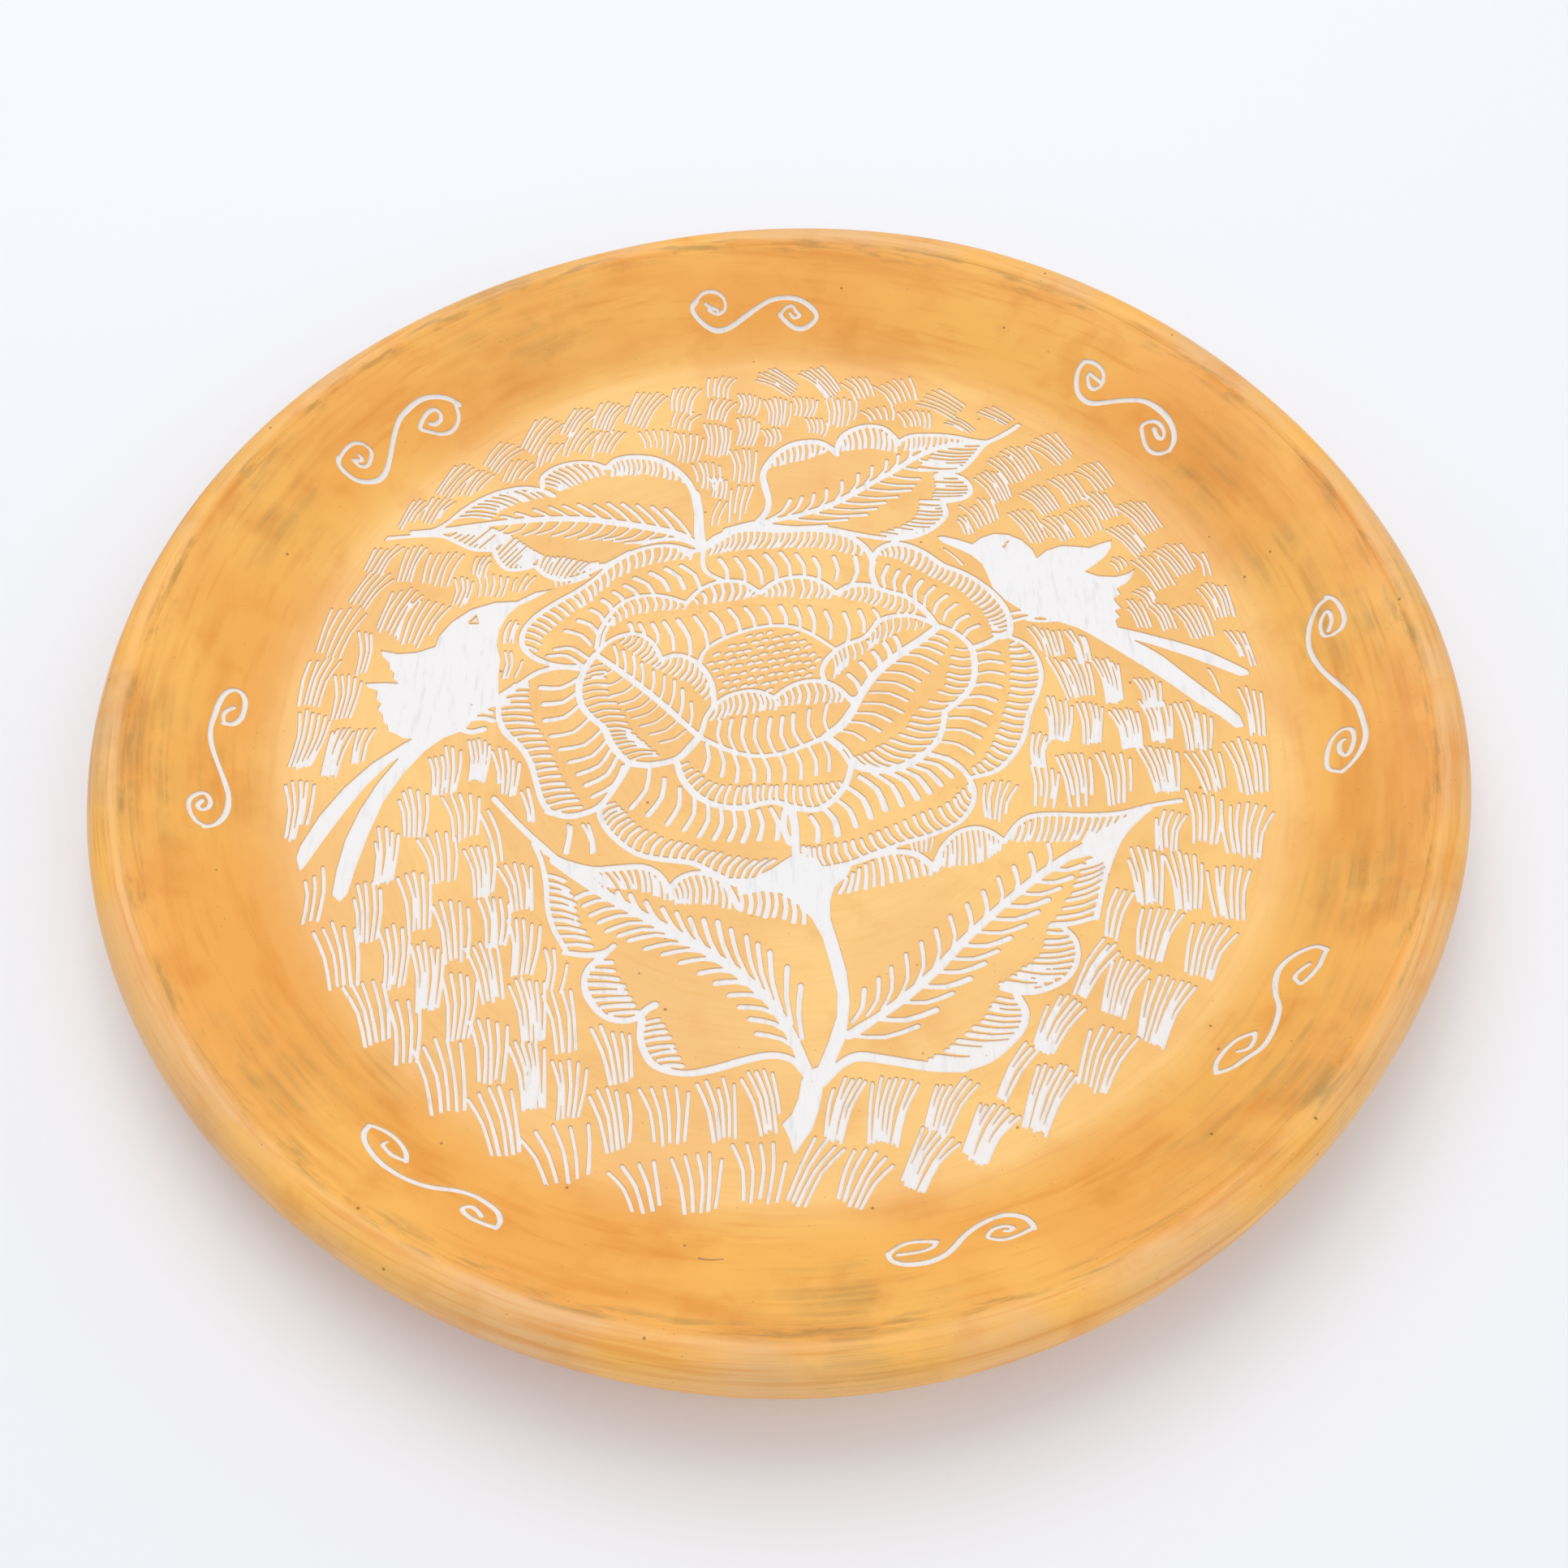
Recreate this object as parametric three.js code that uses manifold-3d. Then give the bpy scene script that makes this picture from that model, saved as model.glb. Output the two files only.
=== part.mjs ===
// A round, shallow plate of burnished clay with a scratched design.
// A body of clay carries a coat of white slip, and over it a coat of ochre slip. The design is
// cut through the ochre coat, so that the white coat shows in every cut.
// Millimetres, +Z up. The origin is the middle of the flat base, and -Y is the side where the
// stem of the design starts. The plate is drawn as three stages of clay (slab, wall and rolled
// lip) and its coats, each a closed solid, with a thin gap between neighbours.
import * as THREE from 'three';
import { mergeVertices } from 'three/addons/utils/BufferGeometryUtils.js';
import Module from 'manifold-3d';

const wasm = await Module();
wasm.setup();

// Driving dimensions of the plate, radius and height.
const BASE_RADIUS = 107;
const FLOOR_RADIUS = 104;
const FLOOR_HEIGHT = 8;
const CREASE_RADIUS = 131.8;
const CREASE_HEIGHT = 23.8;
const RIM_RADIUS = 140;
const RIM_HEIGHT = 17;
const LIP_JOINT_RADIUS = 129;

// Coats and the gaps between solids.
const COAT = 0.5;
const COAT_GAP = 0.1;
const JOINT_GAP = 0.3;
const CUT_DEPTH = 0.2;
const WHITE_DEPTH = COAT + COAT_GAP;
const CLAY_DEPTH = WHITE_DEPTH + COAT + COAT_GAP;

// Fineness of the round shapes.
const TURN_STEPS = 48;
const WALL_STEPS = 5;
const LIP_STEPS = 6;
const OUTSIDE_STEPS = 5;
const AXIS_RADIUS = 0.001;

// The hand-turned rim isn't quite round: [waves in a turn, height in mm, angle of a crest].
const RIM_WAVES = [[2, 0.9, 45], [3, 0.35, 55], [4, 0.5, -8], [5, 0.5, -4]];

const COLOURS = {
  clay: { color: 0xb7784a, roughness: 0.85 },
  white: { color: 0xf0e9e6, roughness: 0.8 },
  ochre: { color: 0xe5a552, roughness: 0.45 },
};

const plate = new THREE.Group();

function addNode(name, geometry, coat) {
  const material = new THREE.MeshStandardMaterial({ metalness: 0, ...COLOURS[coat] });
  const mesh = new THREE.Mesh(geometry, material);
  mesh.name = name;
  plate.add(mesh);
}

// Profile curves, as points of (radius, height).

function bend(steps, ...corners) {
  const points = corners.map(([radius, height]) => new THREE.Vector2(radius, height));
  return new THREE.CubicBezierCurve(...points).getPoints(steps);
}

const wallProfile = bend(WALL_STEPS, [FLOOR_RADIUS, FLOOR_HEIGHT], [111, 8], [118, 17],
  [CREASE_RADIUS, CREASE_HEIGHT]);
const lipProfile = bend(LIP_STEPS, [CREASE_RADIUS + JOINT_GAP, CREASE_HEIGHT], [133.5, 25.4],
  [140, 26.2], [RIM_RADIUS, RIM_HEIGHT]);
const outsideProfile = bend(OUTSIDE_STEPS, [RIM_RADIUS, RIM_HEIGHT - JOINT_GAP], [140, 9],
  [126, 9], [BASE_RADIUS, JOINT_GAP]);

// The profile moved into the clay by a depth, square to its own run.
function sunk(profile, depth) {
  return profile.map((point, i) => {
    const before = profile[Math.max(i - 1, 0)];
    const after = profile[Math.min(i + 1, profile.length - 1)];
    const run = after.clone().sub(before).normalize();
    return new THREE.Vector2(point.x + run.y * depth, point.y - run.x * depth);
  });
}

function rimWave(angle) {
  const turn = (waves, crest) => Math.cos(waves * (angle - THREE.MathUtils.degToRad(crest)));
  return RIM_WAVES.reduce((sum, [waves, height, crest]) => sum + height * turn(waves, crest), 0);
}

// Turns a closed outline of (radius, height) into a ring or a disc, with the rim's unevenness.
function turned(outline) {
  const geometry = new THREE.LatheGeometry(outline, TURN_STEPS);
  geometry.rotateX(Math.PI / 2);
  const place = geometry.attributes.position;
  for (let i = 0; i < place.count; i += 1) {
    const x = place.getX(i);
    const y = place.getY(i);
    const radius = Math.hypot(x, y);
    const share = THREE.MathUtils.smoothstep(radius, FLOOR_RADIUS, RIM_RADIUS);
    const stretch = radius > AXIS_RADIUS ? 1 + share * rimWave(Math.atan2(y, x)) / radius : 1;
    place.setXY(i, x * stretch, y * stretch);
  }
  return geometry;
}

// A coat that follows a profile from one depth to another.
function coatRing(profile, top, bottom) {
  const outline = [...sunk(profile, bottom), ...sunk(profile, top).reverse()];
  return turned([...outline, outline[0].clone()]);
}

function coatDisc(radius, top, bottom) {
  const low = FLOOR_HEIGHT - bottom;
  const high = FLOOR_HEIGHT - top;
  return turned([[0, low], [radius, low], [radius, high], [0, high]]
    .map(([r, z]) => new THREE.Vector2(r, z)));
}

// Joining and cutting.

function toSolid(geometry) {
  const bare = geometry.clone();
  bare.deleteAttribute('normal');
  bare.deleteAttribute('uv');
  const merged = mergeVertices(bare, 1e-4);
  const index = merged.index.array;
  const corners = [];
  for (let i = 0; i < index.length; i += 3) {
    const [a, b, c] = index.slice(i, i + 3);
    if (a !== b && b !== c && c !== a) corners.push(a, b, c);
  }
  const mesh = new wasm.Mesh({
    numProp: 3,
    vertProperties: new Float32Array(merged.attributes.position.array),
    triVerts: new Uint32Array(corners),
  });
  return new wasm.Manifold(mesh);
}

function toGeometry(solid) {
  const mesh = solid.getMesh();
  const geometry = new THREE.BufferGeometry();
  geometry.setAttribute('position', new THREE.BufferAttribute(mesh.vertProperties, 3));
  geometry.setIndex(new THREE.BufferAttribute(mesh.triVerts, 1));
  return geometry;
}

// Moves each side of a closed outline outwards by a margin. Sharp corners are kept short.
const LEAST_CORNER = 0.2;

function grown(outline, margin) {
  const facing = THREE.ShapeUtils.isClockWise(outline) ? -1 : 1;
  const outward = outline.map((point, i) => {
    const run = outline[(i + 1) % outline.length].clone().sub(point).normalize();
    return new THREE.Vector2(facing * run.y, -facing * run.x);
  });
  return outline.map((point, i) => {
    const before = outward[(i + outline.length - 1) % outline.length];
    const share = margin / Math.max(1 + before.dot(outward[i]), LEAST_CORNER);
    return before.clone().add(outward[i]).multiplyScalar(share).add(point);
  });
}

// An upright block of the outline, taller than the plate.
function block(outline, margin = 0) {
  const shape = new THREE.Shape(margin ? grown(outline, margin) : outline);
  const height = CREASE_HEIGHT + COAT;
  return toSolid(new THREE.ExtrudeGeometry(shape, { depth: height, bevelEnabled: false }));
}

// Outlines of the design, in millimetres on the plate.

function outlineOf(...points) {
  return points.map(([x, y]) => new THREE.Vector2(x, y));
}

function oval(x, y, width, height, steps = 20) {
  const turn = new THREE.EllipseCurve(x, y, width / 2, height / 2, 0, 2 * Math.PI);
  return turn.getPoints(steps).slice(0, -1);
}

// A line of even width along a curve's points, as a closed outline.
function line(points, width) {
  const half = width / 2;
  const sides = [[], []];
  points.forEach((point, i) => {
    const before = points[Math.max(i - 1, 0)];
    const after = points[Math.min(i + 1, points.length - 1)];
    const run = after.clone().sub(before).normalize();
    sides[0].push(new THREE.Vector2(point.x - run.y * half, point.y + run.x * half));
    sides[1].push(new THREE.Vector2(point.x + run.y * half, point.y - run.x * half));
  });
  return [...sides[0], ...sides[1].reverse()];
}

// A scroll is an S of two half curls. Its middle lies at a radius and an angle on the wall.
const SCROLL_RADIUS = 118;
const SCROLL_LENGTH = 22;
const SCROLL_WIDTH = 1.5;
const SCROLL_STEPS = 7;

function scroll(degrees, flip) {
  const curl = [];
  for (let i = 0; i <= SCROLL_STEPS; i += 1) {
    const turn = (i / SCROLL_STEPS) * 1.6 * Math.PI;
    const reach = SCROLL_LENGTH * (0.17 - 0.009 * turn);
    const x = SCROLL_LENGTH * 0.32 + reach * Math.sin(turn - 0.7);
    const y = flip * reach * (Math.cos(turn - 0.7) - 0.3);
    curl.push(new THREE.Vector2(x, y));
  }
  const far = curl.map((point) => new THREE.Vector2(-point.x, -point.y)).reverse();
  const angle = THREE.MathUtils.degToRad(degrees);
  const origin = new THREE.Vector2();
  const middle = new THREE.Vector2(Math.cos(angle), Math.sin(angle)).multiplyScalar(SCROLL_RADIUS);
  const placed = [...far, ...curl].map((point) => point.clone()
    .rotateAround(origin, angle - Math.PI / 2).add(middle));
  return line(placed, SCROLL_WIDTH);
}

const SCROLLS = {
  scroll_back: [92, 1],
  scroll_back_right: [46, 1],
  scroll_right: [2, 1],
  scroll_front_right: [-38, 1],
  scroll_front: [-75, -1],
  scroll_front_left: [-121, 1],
  scroll_left: [-173, 1],
  scroll_back_left: [139, -1],
};

// Each motif of the well, with the middle ones first: a later one stops short of an earlier one.
const MOTIFS = {
  flower_seed_head: oval(-3, 15, 30, 15),
  flower_inner_petals: oval(0, 4, 88, 42),
  flower_outer_petals: oval(-2, 6, 116, 84, 28),
  stem: outlineOf([3, -95], [0, -84], [9, -68], [9, -46], [4, -36], [12, -37], [14, -58],
    [13, -71], [8, -82]),
  leaf_front_left: outlineOf([2, -80], [-20, -79], [-28, -66], [-44, -52], [-59, -20],
    [-43, -36], [-22, -40], [2, -52], [8, -68]),
  leaf_front_right: outlineOf([12, -79], [30, -79], [46, -68], [58, -50], [82, -21], [58, -25],
    [30, -36], [14, -44], [15, -72]),
  leaf_back_left: outlineOf([-20, 50], [-45, 41], [-64, 44], [-91, 51], [-62, 68], [-38, 74],
    [-21, 66]),
  leaf_back_right: outlineOf([-14, 54], [-5, 73], [18, 83], [42, 82], [58, 84], [45, 68],
    [36, 54], [12, 52]),
  bird_left: outlineOf([-50, 35], [-61, 29], [-60, 8], [-76, -7], [-86, -40], [-96, -37],
    [-82, -6], [-89, 10], [-87, 18], [-74, 18], [-68, 29], [-62, 32], [-54, 35]),
  bird_right: outlineOf([37, 50], [48, 44], [50, 32], [60, 22], [97, -3], [100, 1], [84, 17],
    [100, 11], [100, 14], [78, 25], [81, 40], [72, 48], [60, 44], [51, 51]),
};

// The clay, in the three stages that a potter builds it in.

function clayOutline(...parts) {
  const outline = parts.flat();
  return [...outline, outline[0].clone()];
}

const points = (...pairs) => pairs.map(([r, z]) => new THREE.Vector2(r, z));
const clayWall = sunk(wallProfile, CLAY_DEPTH);
const clayLip = sunk(lipProfile, WHITE_DEPTH);
const clayOutside = sunk(outsideProfile, WHITE_DEPTH);
const clayFloor = FLOOR_HEIGHT - CLAY_DEPTH;
const slabRadius = FLOOR_RADIUS - JOINT_GAP;
const lipInner = LIP_JOINT_RADIUS + JOINT_GAP;
const lipStep = CREASE_RADIUS + CLAY_DEPTH;
const heightAt = (profile, radius) => {
  const after = profile.findIndex((point, i) => i > 0
    && (profile[i - 1].x - radius) * (point.x - radius) <= 0);
  const [a, b] = [profile[after - 1], profile[after]];
  return a.y + (b.y - a.y) * (radius - a.x) / (b.x - a.x);
};

addNode('base_disc', turned(points([0, 0], [slabRadius, 0], [slabRadius, clayFloor],
  [0, clayFloor])), 'clay');
addNode('wall_ring', turned(clayOutline(
  points([FLOOR_RADIUS, clayFloor], [FLOOR_RADIUS, 0], [BASE_RADIUS - COAT - COAT_GAP, 0]),
  clayOutside.filter((point) => point.x < LIP_JOINT_RADIUS && point.y > COAT).reverse(),
  points([LIP_JOINT_RADIUS, heightAt(clayOutside, LIP_JOINT_RADIUS)],
    [LIP_JOINT_RADIUS, heightAt(clayWall, LIP_JOINT_RADIUS)]),
  clayWall.filter((point) => point.x < LIP_JOINT_RADIUS && point.x > FLOOR_RADIUS + COAT).reverse(),
)), 'clay');
addNode('rim_lip', turned(clayOutline(
  points([lipInner, heightAt(clayOutside, lipInner)]),
  clayOutside.filter((point) => point.x > lipInner + COAT).reverse(),
  clayLip.slice(0, -1).filter((point) => point.x > lipStep + JOINT_GAP).reverse(),
  points([lipStep, CREASE_HEIGHT - CLAY_DEPTH - COAT], [lipInner, heightAt(clayWall, lipInner)]),
)), 'clay');

// The coats of slip.

addNode('white_slip_well', coatDisc(slabRadius, WHITE_DEPTH, WHITE_DEPTH + COAT), 'white');
addNode('white_slip_wall', coatRing(wallProfile, WHITE_DEPTH, WHITE_DEPTH + COAT), 'white');
addNode('ochre_slip_rim', coatRing(lipProfile, 0, COAT), 'ochre');
addNode('ochre_slip_outside', coatRing(outsideProfile, 0, COAT), 'ochre');

// The design: white slip laid bare, in windows of the ochre coat.

const cutWell = toSolid(coatDisc(slabRadius, CUT_DEPTH, COAT));
const cutWall = toSolid(coatRing(wallProfile, CUT_DEPTH, COAT));
let wellCoat = toSolid(coatDisc(slabRadius, 0, COAT));
let wallCoat = toSolid(coatRing(wallProfile, 0, COAT));
let used = null;

for (const [name, outline] of Object.entries(MOTIFS)) {
  const window = block(outline, JOINT_GAP);
  const bare = cutWell.intersect(block(outline));
  addNode(name, toGeometry(used ? bare.subtract(used) : bare), 'white');
  used = used ? used.add(window) : window;
}
wellCoat = wellCoat.subtract(used);

for (const [name, [degrees, flip]] of Object.entries(SCROLLS)) {
  const outline = scroll(degrees, flip);
  addNode(name, toGeometry(cutWall.intersect(block(outline))), 'white');
  wallCoat = wallCoat.subtract(block(outline, JOINT_GAP));
}

addNode('ochre_slip_well', toGeometry(wellCoat), 'ochre');
addNode('ochre_slip_wall', toGeometry(wallCoat), 'ochre');

export default plate;
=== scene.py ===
"""A shallow burnished clay plate whose flower, leaves, birds and grass are cut through the ochre slip."""

import functools
import math
import random

import bpy
from bpy.props import FloatProperty, FloatVectorProperty, IntProperty, PointerProperty
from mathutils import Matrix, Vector, noise
from mathutils.geometry import delaunay_2d_cdt


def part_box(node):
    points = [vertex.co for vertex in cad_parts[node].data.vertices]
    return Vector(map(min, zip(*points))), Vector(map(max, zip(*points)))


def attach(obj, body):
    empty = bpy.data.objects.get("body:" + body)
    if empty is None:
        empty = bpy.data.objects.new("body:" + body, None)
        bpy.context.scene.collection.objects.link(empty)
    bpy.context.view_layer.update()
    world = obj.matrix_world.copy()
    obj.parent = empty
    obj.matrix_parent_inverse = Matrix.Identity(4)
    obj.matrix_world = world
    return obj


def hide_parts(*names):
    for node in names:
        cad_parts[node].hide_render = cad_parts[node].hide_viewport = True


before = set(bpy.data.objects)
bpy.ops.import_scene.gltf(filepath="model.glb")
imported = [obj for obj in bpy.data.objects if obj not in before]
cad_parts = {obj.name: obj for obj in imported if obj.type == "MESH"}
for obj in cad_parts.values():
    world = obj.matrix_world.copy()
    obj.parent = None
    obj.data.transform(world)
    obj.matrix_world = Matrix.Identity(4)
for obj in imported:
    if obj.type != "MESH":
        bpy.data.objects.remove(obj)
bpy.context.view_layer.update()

bl_info = {
    "name": "Cut Slip Plate",
    "version": (1, 0, 0),
    "blender": (4, 5, 0),
    "location": "3D View > Sidebar > Plate",
    "description": "Makes a burnished clay plate with a design cut through its ochre slip",
    "category": "Add Mesh",
}

MM = 0.001
BODY = "root"


# ---------------------------------------------------------------- the plate's section, in millimetres

def top_of(node):
    """Height of a node's highest corner in the frame."""
    return round(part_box(node)[1][2] / MM, 3)


def reach_of(node):
    """How far a node reaches along X in the frame."""
    return round(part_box(node)[1][0] / MM, 3)


# The frame's floor coat stops this far short of the edge where floor and wall meet.
JOINT_GAP = 0.3
FLOOR_RADIUS = reach_of("ochre_slip_well") + JOINT_GAP
FLOOR_HEIGHT = top_of("ochre_slip_well")
CREASE_RADIUS = 131.8
RIM_RADIUS = 140.0
FLOOR_EDGE = (FLOOR_RADIUS, FLOOR_HEIGHT)
CREASE = (CREASE_RADIUS, top_of("ochre_slip_wall"))
RIM = (RIM_RADIUS, 17)
WALL_CURVE = (FLOOR_EDGE, (111, 8), (118, 17), CREASE)
LIP_CURVE = (CREASE, (133.5, 25.4), (140, 26.2), RIM)
OUTSIDE_CURVE = (RIM, (140, 9), (126, 9), (107, 0.3))

# The underside rests on a narrow ring and is a little hollow inside it.
FOOT_RADIUS = 106.4
UNDERSIDE = ((FOOT_RADIUS, 0.25), (105.6, 0), (101, 0), (96, 0.12), (88, 0.3), (60, 0.42), (30, 0.5),
             (0, 0.55))

# The slab's edge, which leans a little, and the foot of the wall's clay that stands round it.
SLAB_TOP_RADIUS = 105.4
SLAB_SIDE = (105.6, 5)
WALL_FOOT_RADIUS = 106
WALL_FOOT_HEIGHT = 1.2

# Gaps between neighbouring solids, the white sheet in a cut, and the base's unevenness.
COAT_GAP = 0.04
CLAY_GAP = 0.06
SLAB_GAP = 0.02
EDGE_GAP = 0.1
CUT_SHEET = 0.12
BASE_MARKS = 0.06

# Steps along each section line.
WALL_LINE_STEPS = 60
CLAY_STEPS = 24
CLAY_LIP_STEPS = 16
LIP_STEPS = 22
OUTSIDE_STEPS = 30

# How far hand turning pushes the rim in and out: lobes round the plate, height, angle of a crest.
RIM_WAVES = ((2, 0.9, 45), (3, 0.35, 55), (4, 0.5, -8), (5, 0.5, -4))

# The floor is cut up in rings of sectors: outer radius, sectors, and points round that radius.
FLOOR_RINGS = ((28.0, 1, 72), (56.0, 6, 144), (82.0, 12, 240), (FLOOR_RADIUS, 16, 256))
WALL_SECTORS = 8
WALL_RINGS = 18
GRID_STEP = 5.0

# Corners of neighbouring sectors that are this close, in parts of a millimetre, are one corner.
CORNERS_PER_MM = 250

# Width in millimetres of the slow and the quick unevenness, and what each adds.
SLOW_MARK, SLOW_SHARE = 31, 0.8
QUICK_MARK, QUICK_SHARE = 8, 0.2
QUICK_SHIFT = 40


def bezier(curve, t):
    """A point on a cubic curve of four control points."""
    s = 1 - t
    weights = (s * s * s, 3 * s * s * t, 3 * s * t * t, t * t * t)
    return tuple(sum(w * p[k] for w, p in zip(weights, curve)) for k in (0, 1))


def sampled(curve, steps):
    """Even steps along a cubic curve."""
    return [bezier(curve, i / steps) for i in range(steps + 1)]


def ease(r):
    """How much of the rim's waviness reaches a radius: none on the floor, all of it at the rim."""
    t = min(max((r - FLOOR_RADIUS) / (RIM_RADIUS - FLOOR_RADIUS), 0.0), 1.0)
    return t * t * (3 - 2 * t)


def wave(angle):
    """The rim's push outwards at an angle."""
    return sum(h * math.cos(n * (angle - math.radians(crest))) for n, h, crest in RIM_WAVES)


WALL_POINTS = sampled(WALL_CURVE, WALL_LINE_STEPS)


def wall_section(r):
    """Height and slope angle of the inner surface at a radius before the waves."""
    if r <= FLOOR_RADIUS:
        return FLOOR_HEIGHT, 0.0
    for (r0, z0), (r1, z1) in zip(WALL_POINTS, WALL_POINTS[1:]):
        if r <= r1 or r1 == CREASE_RADIUS:
            return z0 + (z1 - z0) * (r - r0) / (r1 - r0), math.atan2(z1 - z0, r1 - r0)


def hand_marks(x, y, z=0.0):
    """The slow rise and fall that a smoothing hand leaves on the surface, from -1 to 1."""
    slow = noise.noise(Vector((x / SLOW_MARK, y / SLOW_MARK, z / SLOW_MARK)))
    quick = noise.noise(Vector((x / QUICK_MARK + QUICK_SHIFT, y / QUICK_MARK, z / QUICK_MARK)))
    return SLOW_SHARE * slow + QUICK_SHARE * quick


def on_surface(x, y, depth):
    """The place, in metres, that lies a depth in millimetres under the inner surface at x, y."""
    r = math.hypot(x, y)
    angle = math.atan2(y, x)
    height, slope = wall_section(r)
    depth -= sizes().hand_marks / MM * hand_marks(x, y)
    r += depth * math.sin(slope)
    r += wave(angle) * ease(r)
    return Vector((r * math.cos(angle), r * math.sin(angle), height - depth * math.cos(slope))) * MM


def before_waves(x, y):
    """Where a place measured on the finished plate lies before the rim's waves are added."""
    r = math.hypot(x, y)
    scale = (r - wave(math.atan2(y, x)) * ease(r)) / r if r > FLOOR_RADIUS else 1.0
    return x * scale, y * scale


# ---------------------------------------------------------------- the strokes of the design

def line(width, *points):
    """One long cut of a given width through the points."""
    return "line", width, points


def comb(count, roots, tips, width=1.0, bow=0.12):
    """A row of short cuts from a curve of roots to a curve of free, round tips."""
    return "comb", count, roots, tips, width, bow


def patch(*points):
    """A whole area scraped clean."""
    return "patch", points


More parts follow.
